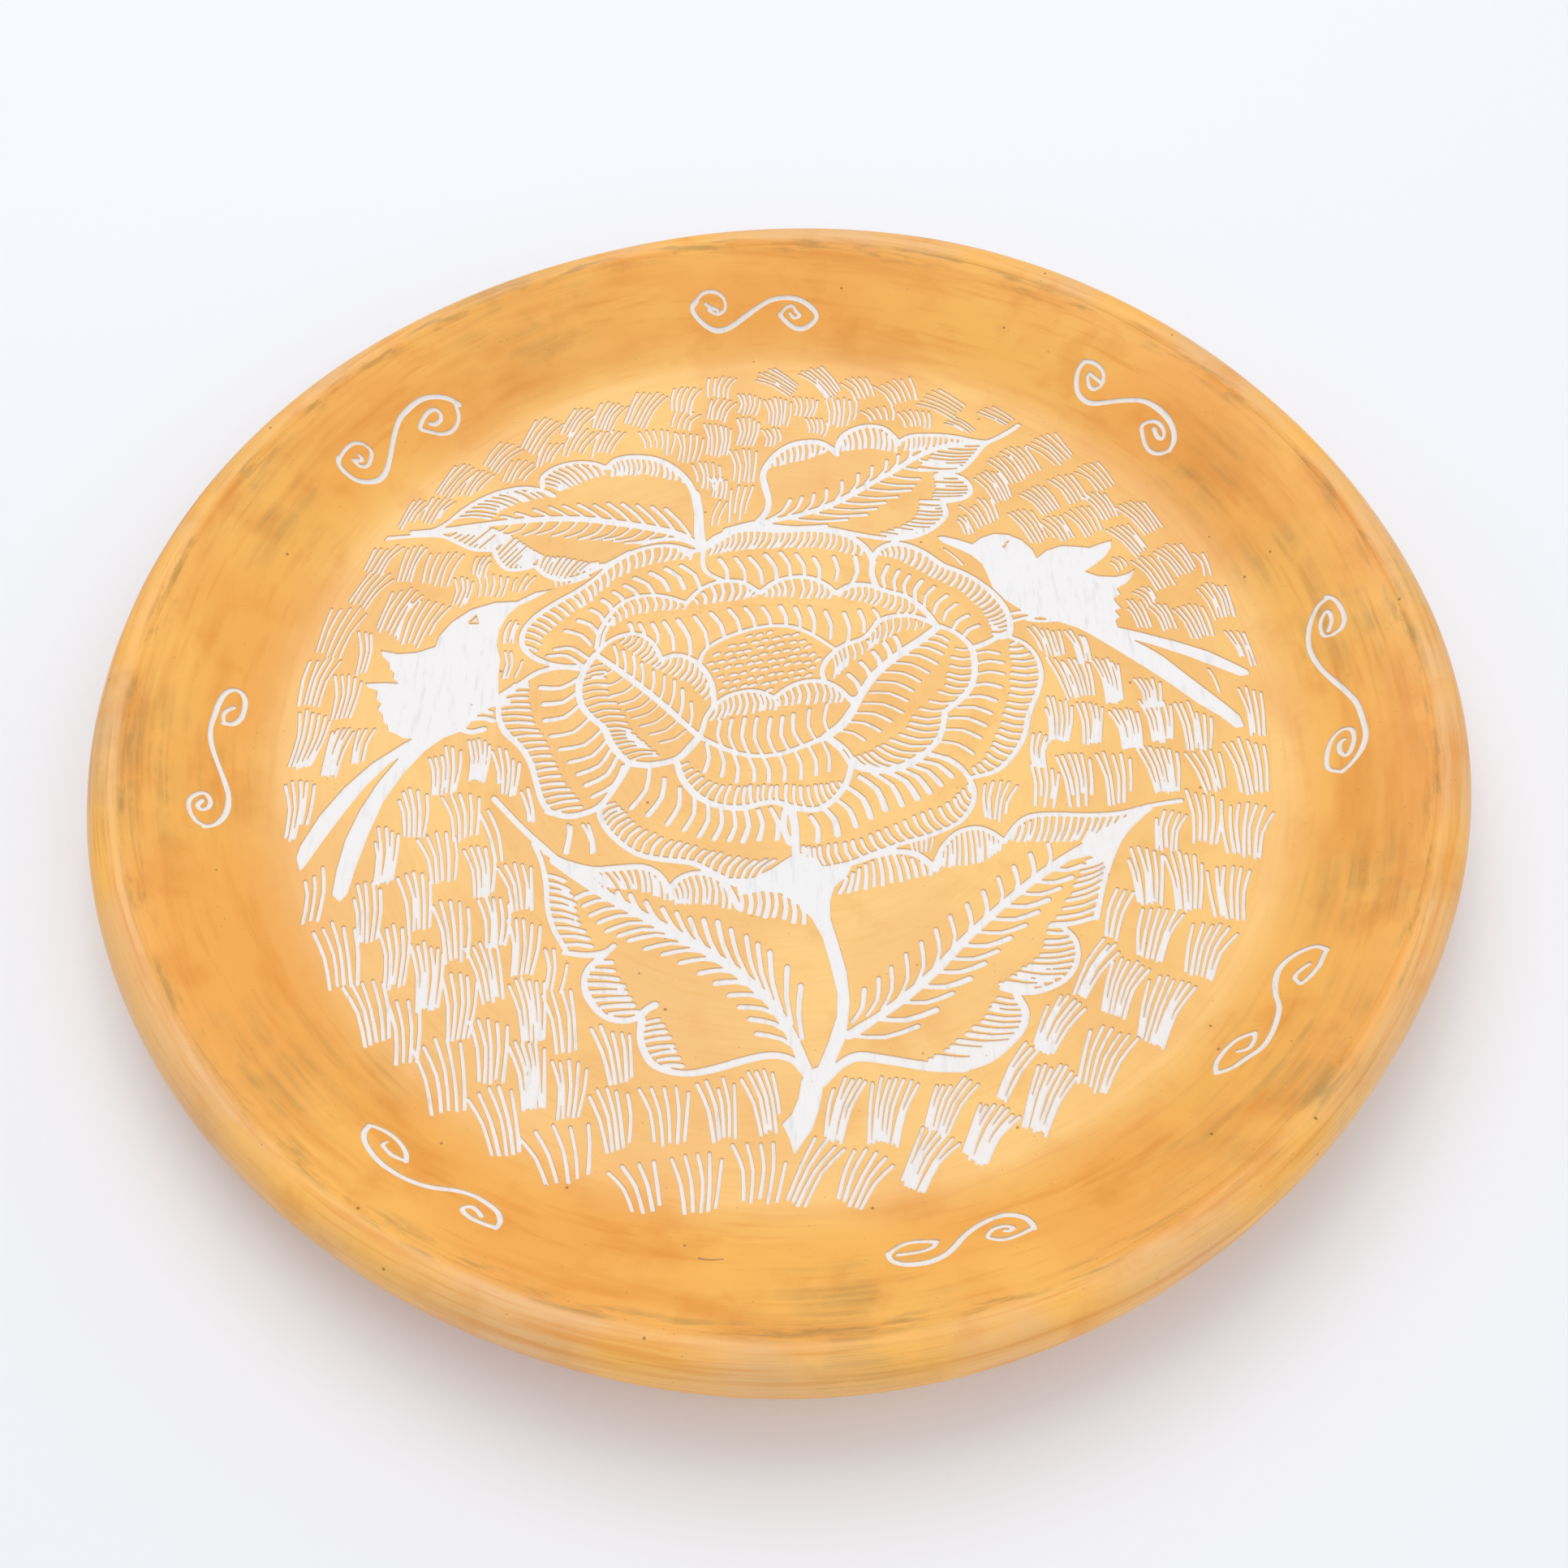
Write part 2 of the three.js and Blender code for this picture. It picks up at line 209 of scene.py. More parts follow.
# The two cupped inner petals, the bowl between them and the scalloped edge in front of the seeds.
INNER_PETALS = [
    line(1.3, (-40.5, 17.3), (-38.3, 20.3), (-35.5, 22.2), (-32.3, 22.9), (-29.3, 21.6), (-27.2, 18.8),
         (-26, 15.7)),
    line(1.4, (-26, 15.7), (-23.5, 16.9), (-20.8, 16.6), (-18, 14.7), (-15.8, 11.6), (-14.6, 8),
         (-14.3, 3.4)),
    comb(8, [(-33.8, 22.6), (-29.3, 21), (-26.3, 16.2)], [(-35.4, 20.3), (-31.5, 17.2), (-27.8, 13.9)]),
    comb(10, [(-25.3, 16.2), (-21, 16.4), (-17.5, 13.5), (-15, 8)],
         [(-27.3, 13.3), (-22.8, 11.4), (-19.2, 8.9), (-16.3, 5)]),
    line(1.6, (-40.3, 17), (-35, 12.7), (-30, 8.3), (-25, 3.5), (-20.5, -1.2), (-17.3, -4.5)),
    comb(9, [(-35.6, 13.6), (-32, 10.5), (-28, 6.7), (-24, 2.7), (-19.4, -2)],
         [(-36.8, 19.8), (-32.4, 16.8), (-27.7, 12.7), (-23.2, 10.3), (-19, 4.3)], 1.0, -0.06),
    comb(9, [(-36.3, 13.2), (-30, 7.9), (-25.3, 3.3), (-20, -2.8)],
         [(-40.6, 11.3), (-35, 4.6), (-31.2, -0.8), (-25.3, -6.1)], 0.9),
    line(1.7, (-40.5, 17.3), (-42.8, 13), (-43.7, 8.5), (-42.8, 3.8), (-40.5, 0.5), (-37.6, -2.3),
         (-36.3, -5.5), (-34, -9), (-31.6, -11.3)),
    comb(18, [(-42.3, 12.7), (-43.3, 7.5), (-41, 1.5), (-37.2, -2.8), (-35.7, -6.5), (-31.8, -10.7)],
         [(-38.6, 14.4), (-37.5, 8.3), (-34.8, 2.6), (-31.5, -3.4), (-28.7, -6.4),
         (-25.8, -9.3)], 0.9, 0.1),
    line(1.8, (-31.8, -11.2), (-28, -11.7), (-24, -11), (-21.3, -9.8), (-19, -7), (-17.2, -4.3)),
    line(2.1, (9.5, -4.8), (13, -1.7), (15.5, 2.3), (17.3, 6), (20, 10.8), (23.5, 14.8), (27, 17.8),
         (31, 21), (35, 24.6)),
    comb(5, [(17.3, 6.5), (21.7, 12.8), (26, 17.5)],
         [(15, 11.7), (20.5, 17.8), (25.4, 21.8)], 1.3, -0.12),
    comb(12, [(33.6, 22.3), (27, 17.5), (21.5, 10.9), (17.2, 3.2), (12.3, -3.2)],
         [(37, 20.8), (34.8, 15.2), (29.3, 8.4), (25.6, 0.8), (18, -5.6)], 1.05),
    line(1.5, (35.5, 24.8), (39, 22.8), (42, 19), (42.5, 14.5), (41.8, 9.5), (39.3, 5.5), (35.3, 1.8)),
    line(1.5, (35.3, 1.8), (34.6, -2.3), (33, -6.2), (30.3, -9)),
    line(2, (30.3, -9), (27, -11.5), (22, -13.2), (17.5, -12.8), (14.8, -11.5)),
    comb(20, [(42, 18.5), (42.3, 12), (40.5, 7.3), (35.3, 2), (34.3, -3), (31, -8), (24.3, -12.3),
         (18.5, -12.5)],
         [(38.5, 18.6), (36.7, 12.2), (35.2, 8), (29.7, 2), (27, -2.3), (22.6, -6.2), (18.7, -8.8),
         (15.6, -10)], 1.0, 0.1),
    line(1.3, (12.3, 18.3), (14.3, 19.7), (17, 20.8), (19, 22), (20.7, 24.5), (22, 26.8)),
    line(1.4, (21.5, 26), (24.5, 27.4), (28.5, 27.8), (31.8, 26.8), (34.8, 24.9)),
    comb(7, [(11.6, 17), (14.5, 19.3), (19, 21)], [(11.5, 10.8), (14.5, 14), (20, 19)], 0.9, 0.08),
    comb(9, [(20, 22.5), (23, 26.3), (27.5, 27.3), (32, 26)],
         [(19, 18.3), (22.2, 20.5), (26.8, 23.5), (31.3, 24)], 0.9, 0.08),
    line(1.4, (-17.3, -4.5), (-12.5, -7.3), (-7, -9.3), (-1, -9.2), (4.5, -7.2), (9.5, -4.8)),
    line(1.3, (-14.5, 3.3), (-16, 0.3), (-16.6, -2.5), (-17.2, -4.5)),
    line(1.3, (-14.5, 3.2), (-12, 5.6), (-8.5, 7.1), (-4.8, 7.2), (-1.3, 5.5)),
    line(1.4, (-1.3, 5.5), (1.5, 8), (5, 9.7), (9, 9.8), (12.5, 8), (15.3, 4.5)),
    patch((11.8, 8.6), (14, 6.2), (15, 3.6), (17, 4), (17.8, 6.5), (15.5, 5.8)),
    comb(11, [(-13.7, 3.9), (-10, 6.6), (-5.5, 7), (-1.6, 5.9)],
         [(-14.8, -0.3), (-10.3, 1), (-5, 2), (-1.2, 2.6)]),
    comb(10, [(-0.8, 6.2), (3.5, 9), (9, 9.6), (13.2, 7)], [(0, 3.3), (4, 4), (9.3, 4.2), (13, 4.3)]),
    comb(9, [(-12.3, -7.2), (-6.6, -9), (-1, -9), (4.7, -7), (10.5, -4.3)],
         [(-13, -0.6), (-7.7, 0.2), (-2.1, 0.1), (3, 1.2), (10.1, 3.5)], 1.1),
    comb(9, [(-15.7, -6), (-10, -8.7), (-3.8, -9.5), (2.9, -8), (8.8, -5.8)],
         [(-16, -13.2), (-9, -15.7), (-2.6, -15.7), (4.3, -15), (10, -13.3)], 1.1, 0.1),
    line(1.2, (10, -5.3), (12.8, -8.3), (14.7, -11.8)),
    line(1.1, (10.8, -5), (14, -8), (15.7, -11.8)),
]

# The ring of broad petals, each with a combed edge and a fringe of rays.
OUTER_PETALS = [
    line(1.5, (-43.3, 13.2), (-48, 13.7), (-52.5, 12.5), (-56, 9.8), (-58, 7.8)),
    line(1.5, (-57.5, 9), (-60.3, 5), (-60.4, 1), (-58.6, -3.2), (-55, -7), (-52.6, -11), (-51, -16),
         (-49.7, -20), (-48, -22.8)),
    patch((-57.8, 9.2), (-55.6, 10.8), (-54.3, 9.6), (-54.6, 8.6), (-57, 8.3)),
    line(1.6, (-48.2, -23), (-44, -24.2), (-40.5, -23.5), (-37.3, -21.6), (-34.5, -17), (-32, -11.5)),
    comb(20, [(-57.8, 8.3), (-60, 4), (-59.8, 0), (-57, -5), (-53.2, -9.5), (-51.6, -14.5), (-50, -19),
         (-47, -23.2)],
         [(-54.6, 8.4), (-54.4, 4.4), (-53, -0.3), (-50.7, -4.7), (-48.6, -9), (-46.8, -13.7),
         (-43.8, -18), (-41.2, -21.8)], 1.1, 0.05),
    comb(9, [(-43.8, 10.7), (-43.3, 3.6), (-38, -2.7), (-35.7, -7.4), (-33, -11.5)],
         [(-51.7, 8.2), (-50.2, -0.5), (-46.7, -7.6), (-42.2, -14), (-38.9, -19.5)], 1.4, 0.16),
    line(1.2, (-49.6, 18.5), (-46, 18.9), (-42.3, 16.2)),
    line(1.2, (-51, 16.7), (-47, 16.9), (-43.4, 14.3)),
    line(1.4, (-37.5, -21.6), (-37, -25), (-34.3, -29), (-29.5, -33), (-24, -34.5), (-18, -35.3),
         (-13.5, -37.8), (-9, -40.3)),
    comb(23, [(-37.2, -23), (-35, -28.3), (-29.7, -32.8), (-22.5, -34.5), (-16.5, -36), (-10.5, -39),
         (-5, -39)],
         [(-34.4, -21), (-31.6, -24.6), (-27, -28.2), (-20.7, -30.8), (-14.5, -32.6), (-8, -34.5),
         (-1.3, -34.9)], 1.05),
    comb(10, [(-27.5, -12.3), (-18, -19), (-9.8, -22.8), (-2.3, -22)],
         [(-31, -22.2), (-20, -27.8), (-10.8, -30), (-1, -30)], 1.4),
    line(1.6, (-22, -10.3), (-20.8, -14.5), (-18, -18.7), (-13.7, -21.5), (-8, -22.3), (-2, -20.8),
         (2.5, -22.2), (7.5, -22.7), (11.3, -20), (13.8, -16), (14.9, -11.8)),
    comb(24, [(-21.5, -12.5), (-18.5, -18), (-12.5, -21.5), (-6, -21.9), (-2, -20.8), (4, -22.2),
         (9.5, -21), (13, -17.3)],
         [(-19.6, -11.5), (-15.9, -15.2), (-11, -17), (-6.4, -17.1), (-1.9, -17), (3.3, -17.1), (8, -17),
         (12.2, -16)], 1.0, 0.06),
    comb(9, [(43, 17.2), (42.5, 11.5), (39.9, 5.4), (35.8, 0), (33.7, -6)],
         [(48.2, 17.3), (48.6, 11.7), (46.5, 4.4), (43.8, -1.9), (40.5, -8.8)], 1.2),
    comb(11, [(31.3, -9.6), (27, -12), (22, -13.5), (16, -14.5), (11, -20), (5.9, -24)],
         [(38, -12.8), (33.3, -17), (28.2, -20.4), (21.8, -22.9), (15.5, -26.8),
         (7.3, -30.4)], 1.5, 0.14),
    line(1.3, (31, -9), (35, -10.5), (38.5, -13.5), (40.2, -18), (39.5, -22), (36.5, -26), (31, -28.8),
         (25, -30.8), (19, -33.3), (13, -35.8), (7, -37)),
    comb(23, [(39.8, -19), (37.5, -25), (31, -28.3), (24, -30.8), (17, -33.7), (10, -35.8), (6, -35.8)],
         [(39, -16.8), (35, -21.3), (28.5, -24.2), (21.8, -27.4), (15.3, -30.2), (9, -31.6),
         (4.5, -31.8)], 1.05, 0.1),
    line(1.9, (2.2, -22.3), (2.9, -27), (3, -33.5)),
    line(1.5, (0.8, -23), (0.6, -27), (1.8, -30.7)),
    line(1.6, (42, 18.6), (45.3, 20), (48, 21.7), (50.3, 23)),
    line(1.3, (50.3, 22), (54, 19.8), (56.3, 16), (56.8, 11), (55.3, 6), (53.2, 1), (52, -4), (49.3, -9),
         (45.3, -13.3), (40, -15)),
    comb(21, [(52.3, 20.4), (55.8, 15.8), (56.3, 10.3), (54.5, 4.7), (52.7, -1), (50.5, -6.5),
         (46.7, -11.5), (41.5, -14.4)],
         [(50.9, 19.8), (50.7, 15.3), (50.3, 10.3), (49.2, 5), (47.8, 0), (46, -5), (43.6, -9.5),
         (40.7, -12.8)], 1.15, 0.08),
    line(1.4, (-43.5, 13.8), (-49, 14.3), (-53.8, 16.3), (-56.8, 19.8), (-56.8, 24), (-54.3, 28),
         (-50, 31.8), (-45.7, 35), (-41.7, 38.8), (-38.3, 42.8), (-34.5, 45.8), (-30, 47.8), (-25, 48.2),
         (-20, 46.5)),
    patch((-17.8, 47.4), (-22, 47.3), (-24.6, 47.9), (-22.5, 46), (-20.6, 44.2), (-19.6, 45.8),
          (-18.4, 46)),
    comb(26, [(-56.2, 19.5), (-56.6, 25), (-53.3, 29), (-48.5, 33), (-44, 36.7), (-39.8, 41), (-35.5, 45),
         (-30.5, 47.3), (-24.5, 47.9), (-20.5, 46.6)],
         [(-53.7, 18.3), (-52, 22.7), (-49.2, 26.2), (-45.6, 29.5), (-42.2, 32.6), (-39.3, 36.5),
         (-35, 40.2), (-30.5, 42.6), (-25.8, 43.8), (-20.4, 44.3)], 1.05, 0.08),
    comb(10, [(-41.5, 19.5), (-37.5, 29), (-28.3, 33.8), (-18, 35.5)],
         [(-47.6, 23.9), (-39.8, 32.4), (-32.7, 38.4), (-22.7, 42.4)], 1.3, -0.14),
    line(1.2, (-40.5, 19), (-40, 23.5), (-38, 28.3), (-35, 32), (-31, 33.6), (-26, 33.4), (-21, 31.5)),
    line(1, (-39.3, 19.5), (-38.8, 23.5), (-37, 27.5)),
    line(1.4, (-21, 31.3), (-18.5, 34.8), (-14.5, 37.3), (-9, 37.6), (-4.3, 34.2)),
    line(1.4, (-4.3, 34.6), (-1, 37.5), (3, 38.8), (7, 38.5), (10.5, 36.5), (12.6, 34)),
    line(1.6, (12.6, 34.2), (16, 36.3), (20, 36.4), (24, 34.7), (28.5, 33), (32, 29.5), (34.5, 25.5)),
    comb(12, [(-38.7, 26.5), (-36, 31), (-31.5, 33.2), (-26, 33.2), (-21.3, 31.6)],
         [(-38.5, 23.8), (-34.5, 27.3), (-30.7, 28.8), (-26, 29.5), (-21.5, 29.8)]),
    comb(9, [(-19.8, 33), (-14, 37), (-8.5, 37.3), (-5, 35.2)],
         [(-18.3, 31.2), (-13.8, 32), (-9.3, 32.4), (-5.7, 33.5)], 1.1),
    comb(10, [(-3.3, 35.8), (0.5, 38), (7, 38.2), (11.5, 35.3)],
         [(-3.4, 33.5), (1, 33.3), (6.3, 32.9), (11, 32.8)]),
    comb(12, [(14, 35.2), (19.5, 36.2), (25, 34.2), (30.5, 31)],
         [(13.5, 33), (18.3, 31.8), (23.5, 29.8), (29.5, 27.8)]),
    comb(17, [(-32.8, 23.2), (-27, 20), (-19.7, 16.8), (-12.3, 21.6), (-5.5, 24.4), (1.3, 24.8),
         (7.3, 22.6), (14.8, 20.2), (22, 26.5)],
         [(-33.7, 25.6), (-28.5, 25.8), (-22.8, 26.8), (-15.4, 28.5), (-7.8, 30.1), (0, 30.4),
         (6.5, 29.9), (14.2, 28.7), (20.8, 29.4)], 1.25, -0.1),
    line(1.6, (-17.3, 47.5), (-15, 50.5), (-11, 52.3), (-6, 53), (0, 52.5), (6, 53), (12, 52.3),
         (16.5, 50.5), (19.5, 47.5), (21, 44), (20.8, 40), (21.7, 36)),
    comb(25, [(-15.3, 50), (-9, 52.3), (-2, 52.3), (5, 52.7), (12, 52), (18.5, 48.7)],
         [(-16, 45.5), (-10.3, 46.8), (-3.7, 47.4), (3.2, 47.6), (10.8, 47.2), (18.3, 45.3)], 1.0, 0.1),
    line(1.4, (-17.5, 47.5), (-17.6, 43), (-16.3, 40), (-12.5, 37.6)),
    comb(9, [(-12, 37.8), (-4, 36.5), (2.3, 38.5), (8.8, 38.2), (16, 36.5)],
         [(-14, 44.2), (-6.9, 44.6), (0, 46), (7.6, 44.4), (17, 44.7)], 1.3, -0.12),
    line(1.6, (21, 43.5), (22.5, 46.8), (25.5, 48.5), (29, 48.2), (33, 46), (37, 42.3), (41, 40.3),
         (45, 37.3), (49, 32.5), (51, 27.5), (50.8, 23), (49, 21.5)),
    comb(27, [(22.3, 46.5), (27.5, 48.3), (33.5, 45.3), (38, 41.6), (43, 39), (47.7, 34), (50.3, 28.5),
         (50.3, 23)],
         [(23, 45.3), (27.2, 44), (31.7, 40.8), (36.2, 37.8), (41, 34.8), (44.4, 30.6), (46.6, 26.5),
         (47.2, 22.8)], 1.1, 0.08),
    comb(10, [(21.5, 36.5), (28.3, 33.6), (34.3, 28), (40.3, 21.5)],
         [(21.9, 43.3), (29.5, 39.3), (37.4, 33.5), (44, 24.8)], 1.2, 0.14),
    line(0.9, (-47.5, 37.3), (-45.5, 38), (-43.2, 39.2)),
    comb(4, [(-50.5, 36), (-47.3, 37)], [(-51, 39.5), (-46.5, 39)], 0.8, 0),
]

# The two lines that close the seed head in.
SEED_BORDER = [
    line(1.2, (-17.8, 14.6), (-16.5, 18.3), (-12.5, 21.5), (-7, 23.9), (-2, 25), (3, 24.6), (7.5, 22.2),
         (12.3, 18.2)),
    line(1.4, (12.6, 18.6), (10, 15.3), (9.1, 12.5), (9.6, 10)),
]

# The calyx, the stem and its foot, scraped as one area.
STEM = [
    patch((-13.5, -38.6), (-9, -40.6), (-8.6, -43), (-4, -41.9), (0, -42.4), (3.4, -45), (6, -48),
          (8, -52), (9.5, -58), (10.7, -64), (10.5, -69), (8.9, -74), (6.8, -79.2), (4.6, -80.2),
          (3.6, -82), (3, -85.5), (1.8, -88.5), (0, -90.5), (1.2, -93), (2.3, -96.6), (3.6, -94.6),
          (5.7, -91.6), (7.1, -87.5), (7.8, -83.6), (9.8, -79.3), (12.3, -73.5), (13.3, -66),
          (12.8, -59.5), (11.2, -53), (9.9, -48), (9.9, -44), (10.8, -41), (13.4, -38.4), (14.5, -36),
          (9, -36.2), (6, -34.6), (3.6, -32.6), (1, -34.3), (-2, -36.6), (-6, -38.8)),
]

# Front left leaf: midrib, barbs, then each scallop of the edge with its comb.
LEAF_FRONT_LEFT = [
    line(1.5, (-59.5, -19.8), (-54, -26), (-48, -32), (-42.5, -37)),
    line(2.2, (-46, -34.5), (-41, -38.5), (-34, -43.2), (-27, -47.5), (-20, -51.8), (-13, -56.3),
         (-7, -61), (-2, -66.3), (1.5, -72), (5, -80.5)),
    comb(15, [(-32.5, -44.3), (-27, -47.6), (-19.5, -51.8), (-14.8, -54.8), (-9, -59), (-4, -62.8),
         (0, -68), (4, -74)],
         [(-35.3, -41.7), (-30, -42.5), (-23.5, -45.7), (-18, -47.8), (-12.5, -48.7), (-7, -52),
         (-2, -55.5), (4, -62.5)], 1.2, 0.05),
    comb(16, [(-37, -42), (-28.5, -47.3), (-19.5, -52.5), (-10.5, -57.8), (-2, -66), (4, -76.5)],
         [(-41, -43.2), (-36, -49), (-29.7, -53), (-19.5, -57.7), (-10, -64.5),
         (-4.5, -72.5)], 1.3, -0.1),
    line(1.5, (-48, -32.5), (-44, -34.9), (-38, -36.7), (-33, -36.4), (-28, -36.2), (-24.5, -38),
         (-22.3, -41.8)),
    comb(15, [(-45, -35.3), (-39, -36.8), (-33.5, -36.6), (-28, -36.5), (-24, -39.3)],
         [(-38.6, -40.4), (-34.8, -41), (-31, -41.2), (-27.2, -41.7), (-23.2, -43.6)], 1.0, 0.05),
    line(1.4, (-22, -43.5), (-21.6, -40.3), (-19.5, -38.3), (-16.3, -37.6), (-13, -38.6), (-10.5, -41.2),
         (-8.5, -45.6)),
    comb(10, [(-21.7, -41.3), (-19, -38.6), (-15, -38), (-11, -41)],
         [(-21.2, -44.4), (-18, -44.7), (-14.3, -44.3), (-10.3, -45.6)], 1.0, 0.08),
    comb(8, [(-8, -42.6), (-4, -41.6), (0, -42.3), (4, -45)],
         [(-8, -45.9), (-4.3, -47.2), (-0.2, -47.9), (4.6, -49.1)], 1.3, 0.08),
    line(1.3, (-50.5, -30.5), (-48.6, -34.5), (-47.2, -40), (-46.6, -45), (-45, -50), (-42.2, -54.8)),
    line(1.4, (-42.6, -55.3), (-38, -55.9), (-34.5, -55.3), (-32.9, -53.9)),
    comb(10, [(-47.8, -38), (-46.8, -43), (-45.8, -48), (-43, -53.7)],
         [(-43.6, -39.6), (-41.4, -44.6), (-40, -49.2), (-37, -53.9)], 1.2, 0.06),
    line(1.5, (-34.3, -55.5), (-37.3, -58.5), (-38.3, -61.5), (-37.2, -65), (-34, -68.8), (-30, -69.8),
         (-27, -69)),
    line(1.8, (-27.3, -69), (-25.6, -67.3), (-24.3, -66.6)),
    comb(8, [(-36.5, -57.6), (-37.8, -61), (-36.7, -65), (-33.3, -68.4)],
         [(-33.3, -57.4), (-31.3, -61.5), (-29.7, -65), (-27.6, -68)], 1.3, 0.02),
    line(1.6, (-26.7, -69.5), (-26.9, -73), (-25.8, -76.5), (-23.5, -79.2), (-18.5, -80.6), (-13, -79.8),
         (-7, -78), (-2, -77), (2, -77.9), (4.8, -81)),
    comb(8, [(-26.3, -70.4), (-26.3, -73.2), (-25, -76.5), (-22.5, -79)],
         [(-23.7, -69.9), (-21.6, -72.6), (-20.2, -75.8), (-18.6, -79.3)], 1.1, 0.04),
]

# Front right leaf, in the same order.
LEAF_FRONT_RIGHT = [
    line(2, (12.8, -73), (15, -71.5), (18, -69.5), (24, -65), (30, -59.5), (35, -54), (40, -49),
         (46, -43.5), (52, -38.5), (58, -34.3), (64, -30.5), (70, -26.5), (76, -22.6)),
    comb(13, [(13.3, -70.5), (22.3, -65.8), (33, -56.2), (43.3, -46), (53.5, -37.3)],
         [(15.8, -63.5), (24.5, -56), (33.5, -47.7), (43.8, -39), (54.3, -31)], 1.1, -0.12),
    comb(13, [(13, -73), (26.5, -62.7), (35.5, -54), (44.5, -45.3), (54.5, -37)],
         [(26, -71.3), (36.7, -61.3), (45.3, -52.3), (53.5, -44), (60.7, -36)], 1.3, -0.1),
    comb(5, [(57, -35), (66, -29)], [(64, -33), (69.5, -28.5)], 1.2, 0),
    line(1.6, (8, -37), (14, -35.6), (19, -33.6), (24, -32.8), (28, -33.8), (31.3, -37)),
    comb(12, [(13.3, -38.5), (18, -35), (23.5, -33.5), (30, -35.6)],
         [(11.6, -42.4), (18, -40.9), (24.6, -39.4), (30.2, -38)], 1.1, 0.04),
    comb(5, [(27, -33.2), (30.3, -33)], [(26.2, -30), (31, -29.8)], 0.8, 0),
    line(1.3, (30.8, -36.5), (33, -31.7), (36, -28.4), (40, -27.2), (43, -28.2), (45.8, -30.6)),
    comb(13, [(32.7, -32.7), (36.5, -28.6), (41, -27.6), (45, -29.8)],
         [(32, -36.5), (36.3, -36), (41, -35), (44.6, -32.5)], 1.0, 0.02),
    line(1.3, (45.6, -30.6), (48, -27), (51, -24.7), (56, -24), (63, -24.3), (70, -23.9), (76, -22.2),
         (83, -20.9)),
    comb(17, [(48.5, -26.7), (54, -24.5), (60, -24.5), (66, -24.5), (72, -24)],
         [(47, -30.2), (52.3, -30.4), (57.8, -30.3), (63, -30), (68, -28.4)], 1.0, 0.05),
    line(1.4, (75, -23.6), (70.5, -28), (67.6, -33), (65.6, -38), (64, -43), (62.6, -48)),
    comb(14, [(70.5, -27.8), (67.6, -33), (65.3, -39), (63, -47.5)],
         [(65.6, -31), (62, -35.5), (58.6, -42), (53.6, -49.6)], 1.1, 0.06),
    line(1.3, (53.2, -49.9), (57.5, -49.3), (62.6, -47.8)),
    line(1.4, (55.7, -50), (57.9, -53), (57.8, -57.5), (55, -61.5), (50, -63.8), (46, -64.1),
         (42.6, -63.3)),
    comb(11, [(57, -51.3), (57.7, -55.5), (55.4, -60.3), (49, -63.3)],
         [(52.9, -51.5), (50.5, -56.6), (46.3, -59.8), (42.7, -62.6)], 1.1, 0.05),
    line(1.6, (45.4, -64.8), (46.8, -68), (46, -71.5), (43, -75), (39, -78), (34, -79.8)),
    line(2.1, (34.5, -79.7), (28, -79.4), (20, -78), (14.5, -77.3), (11, -79), (7.5, -82.5)),
    comb(12, [(46, -66), (46.1, -70.3), (43, -74.7), (37, -78.6)],
         [(41.7, -65.3), (38.7, -70), (33.3, -74.4), (28, -78.2)], 1.2, 0.05),
]

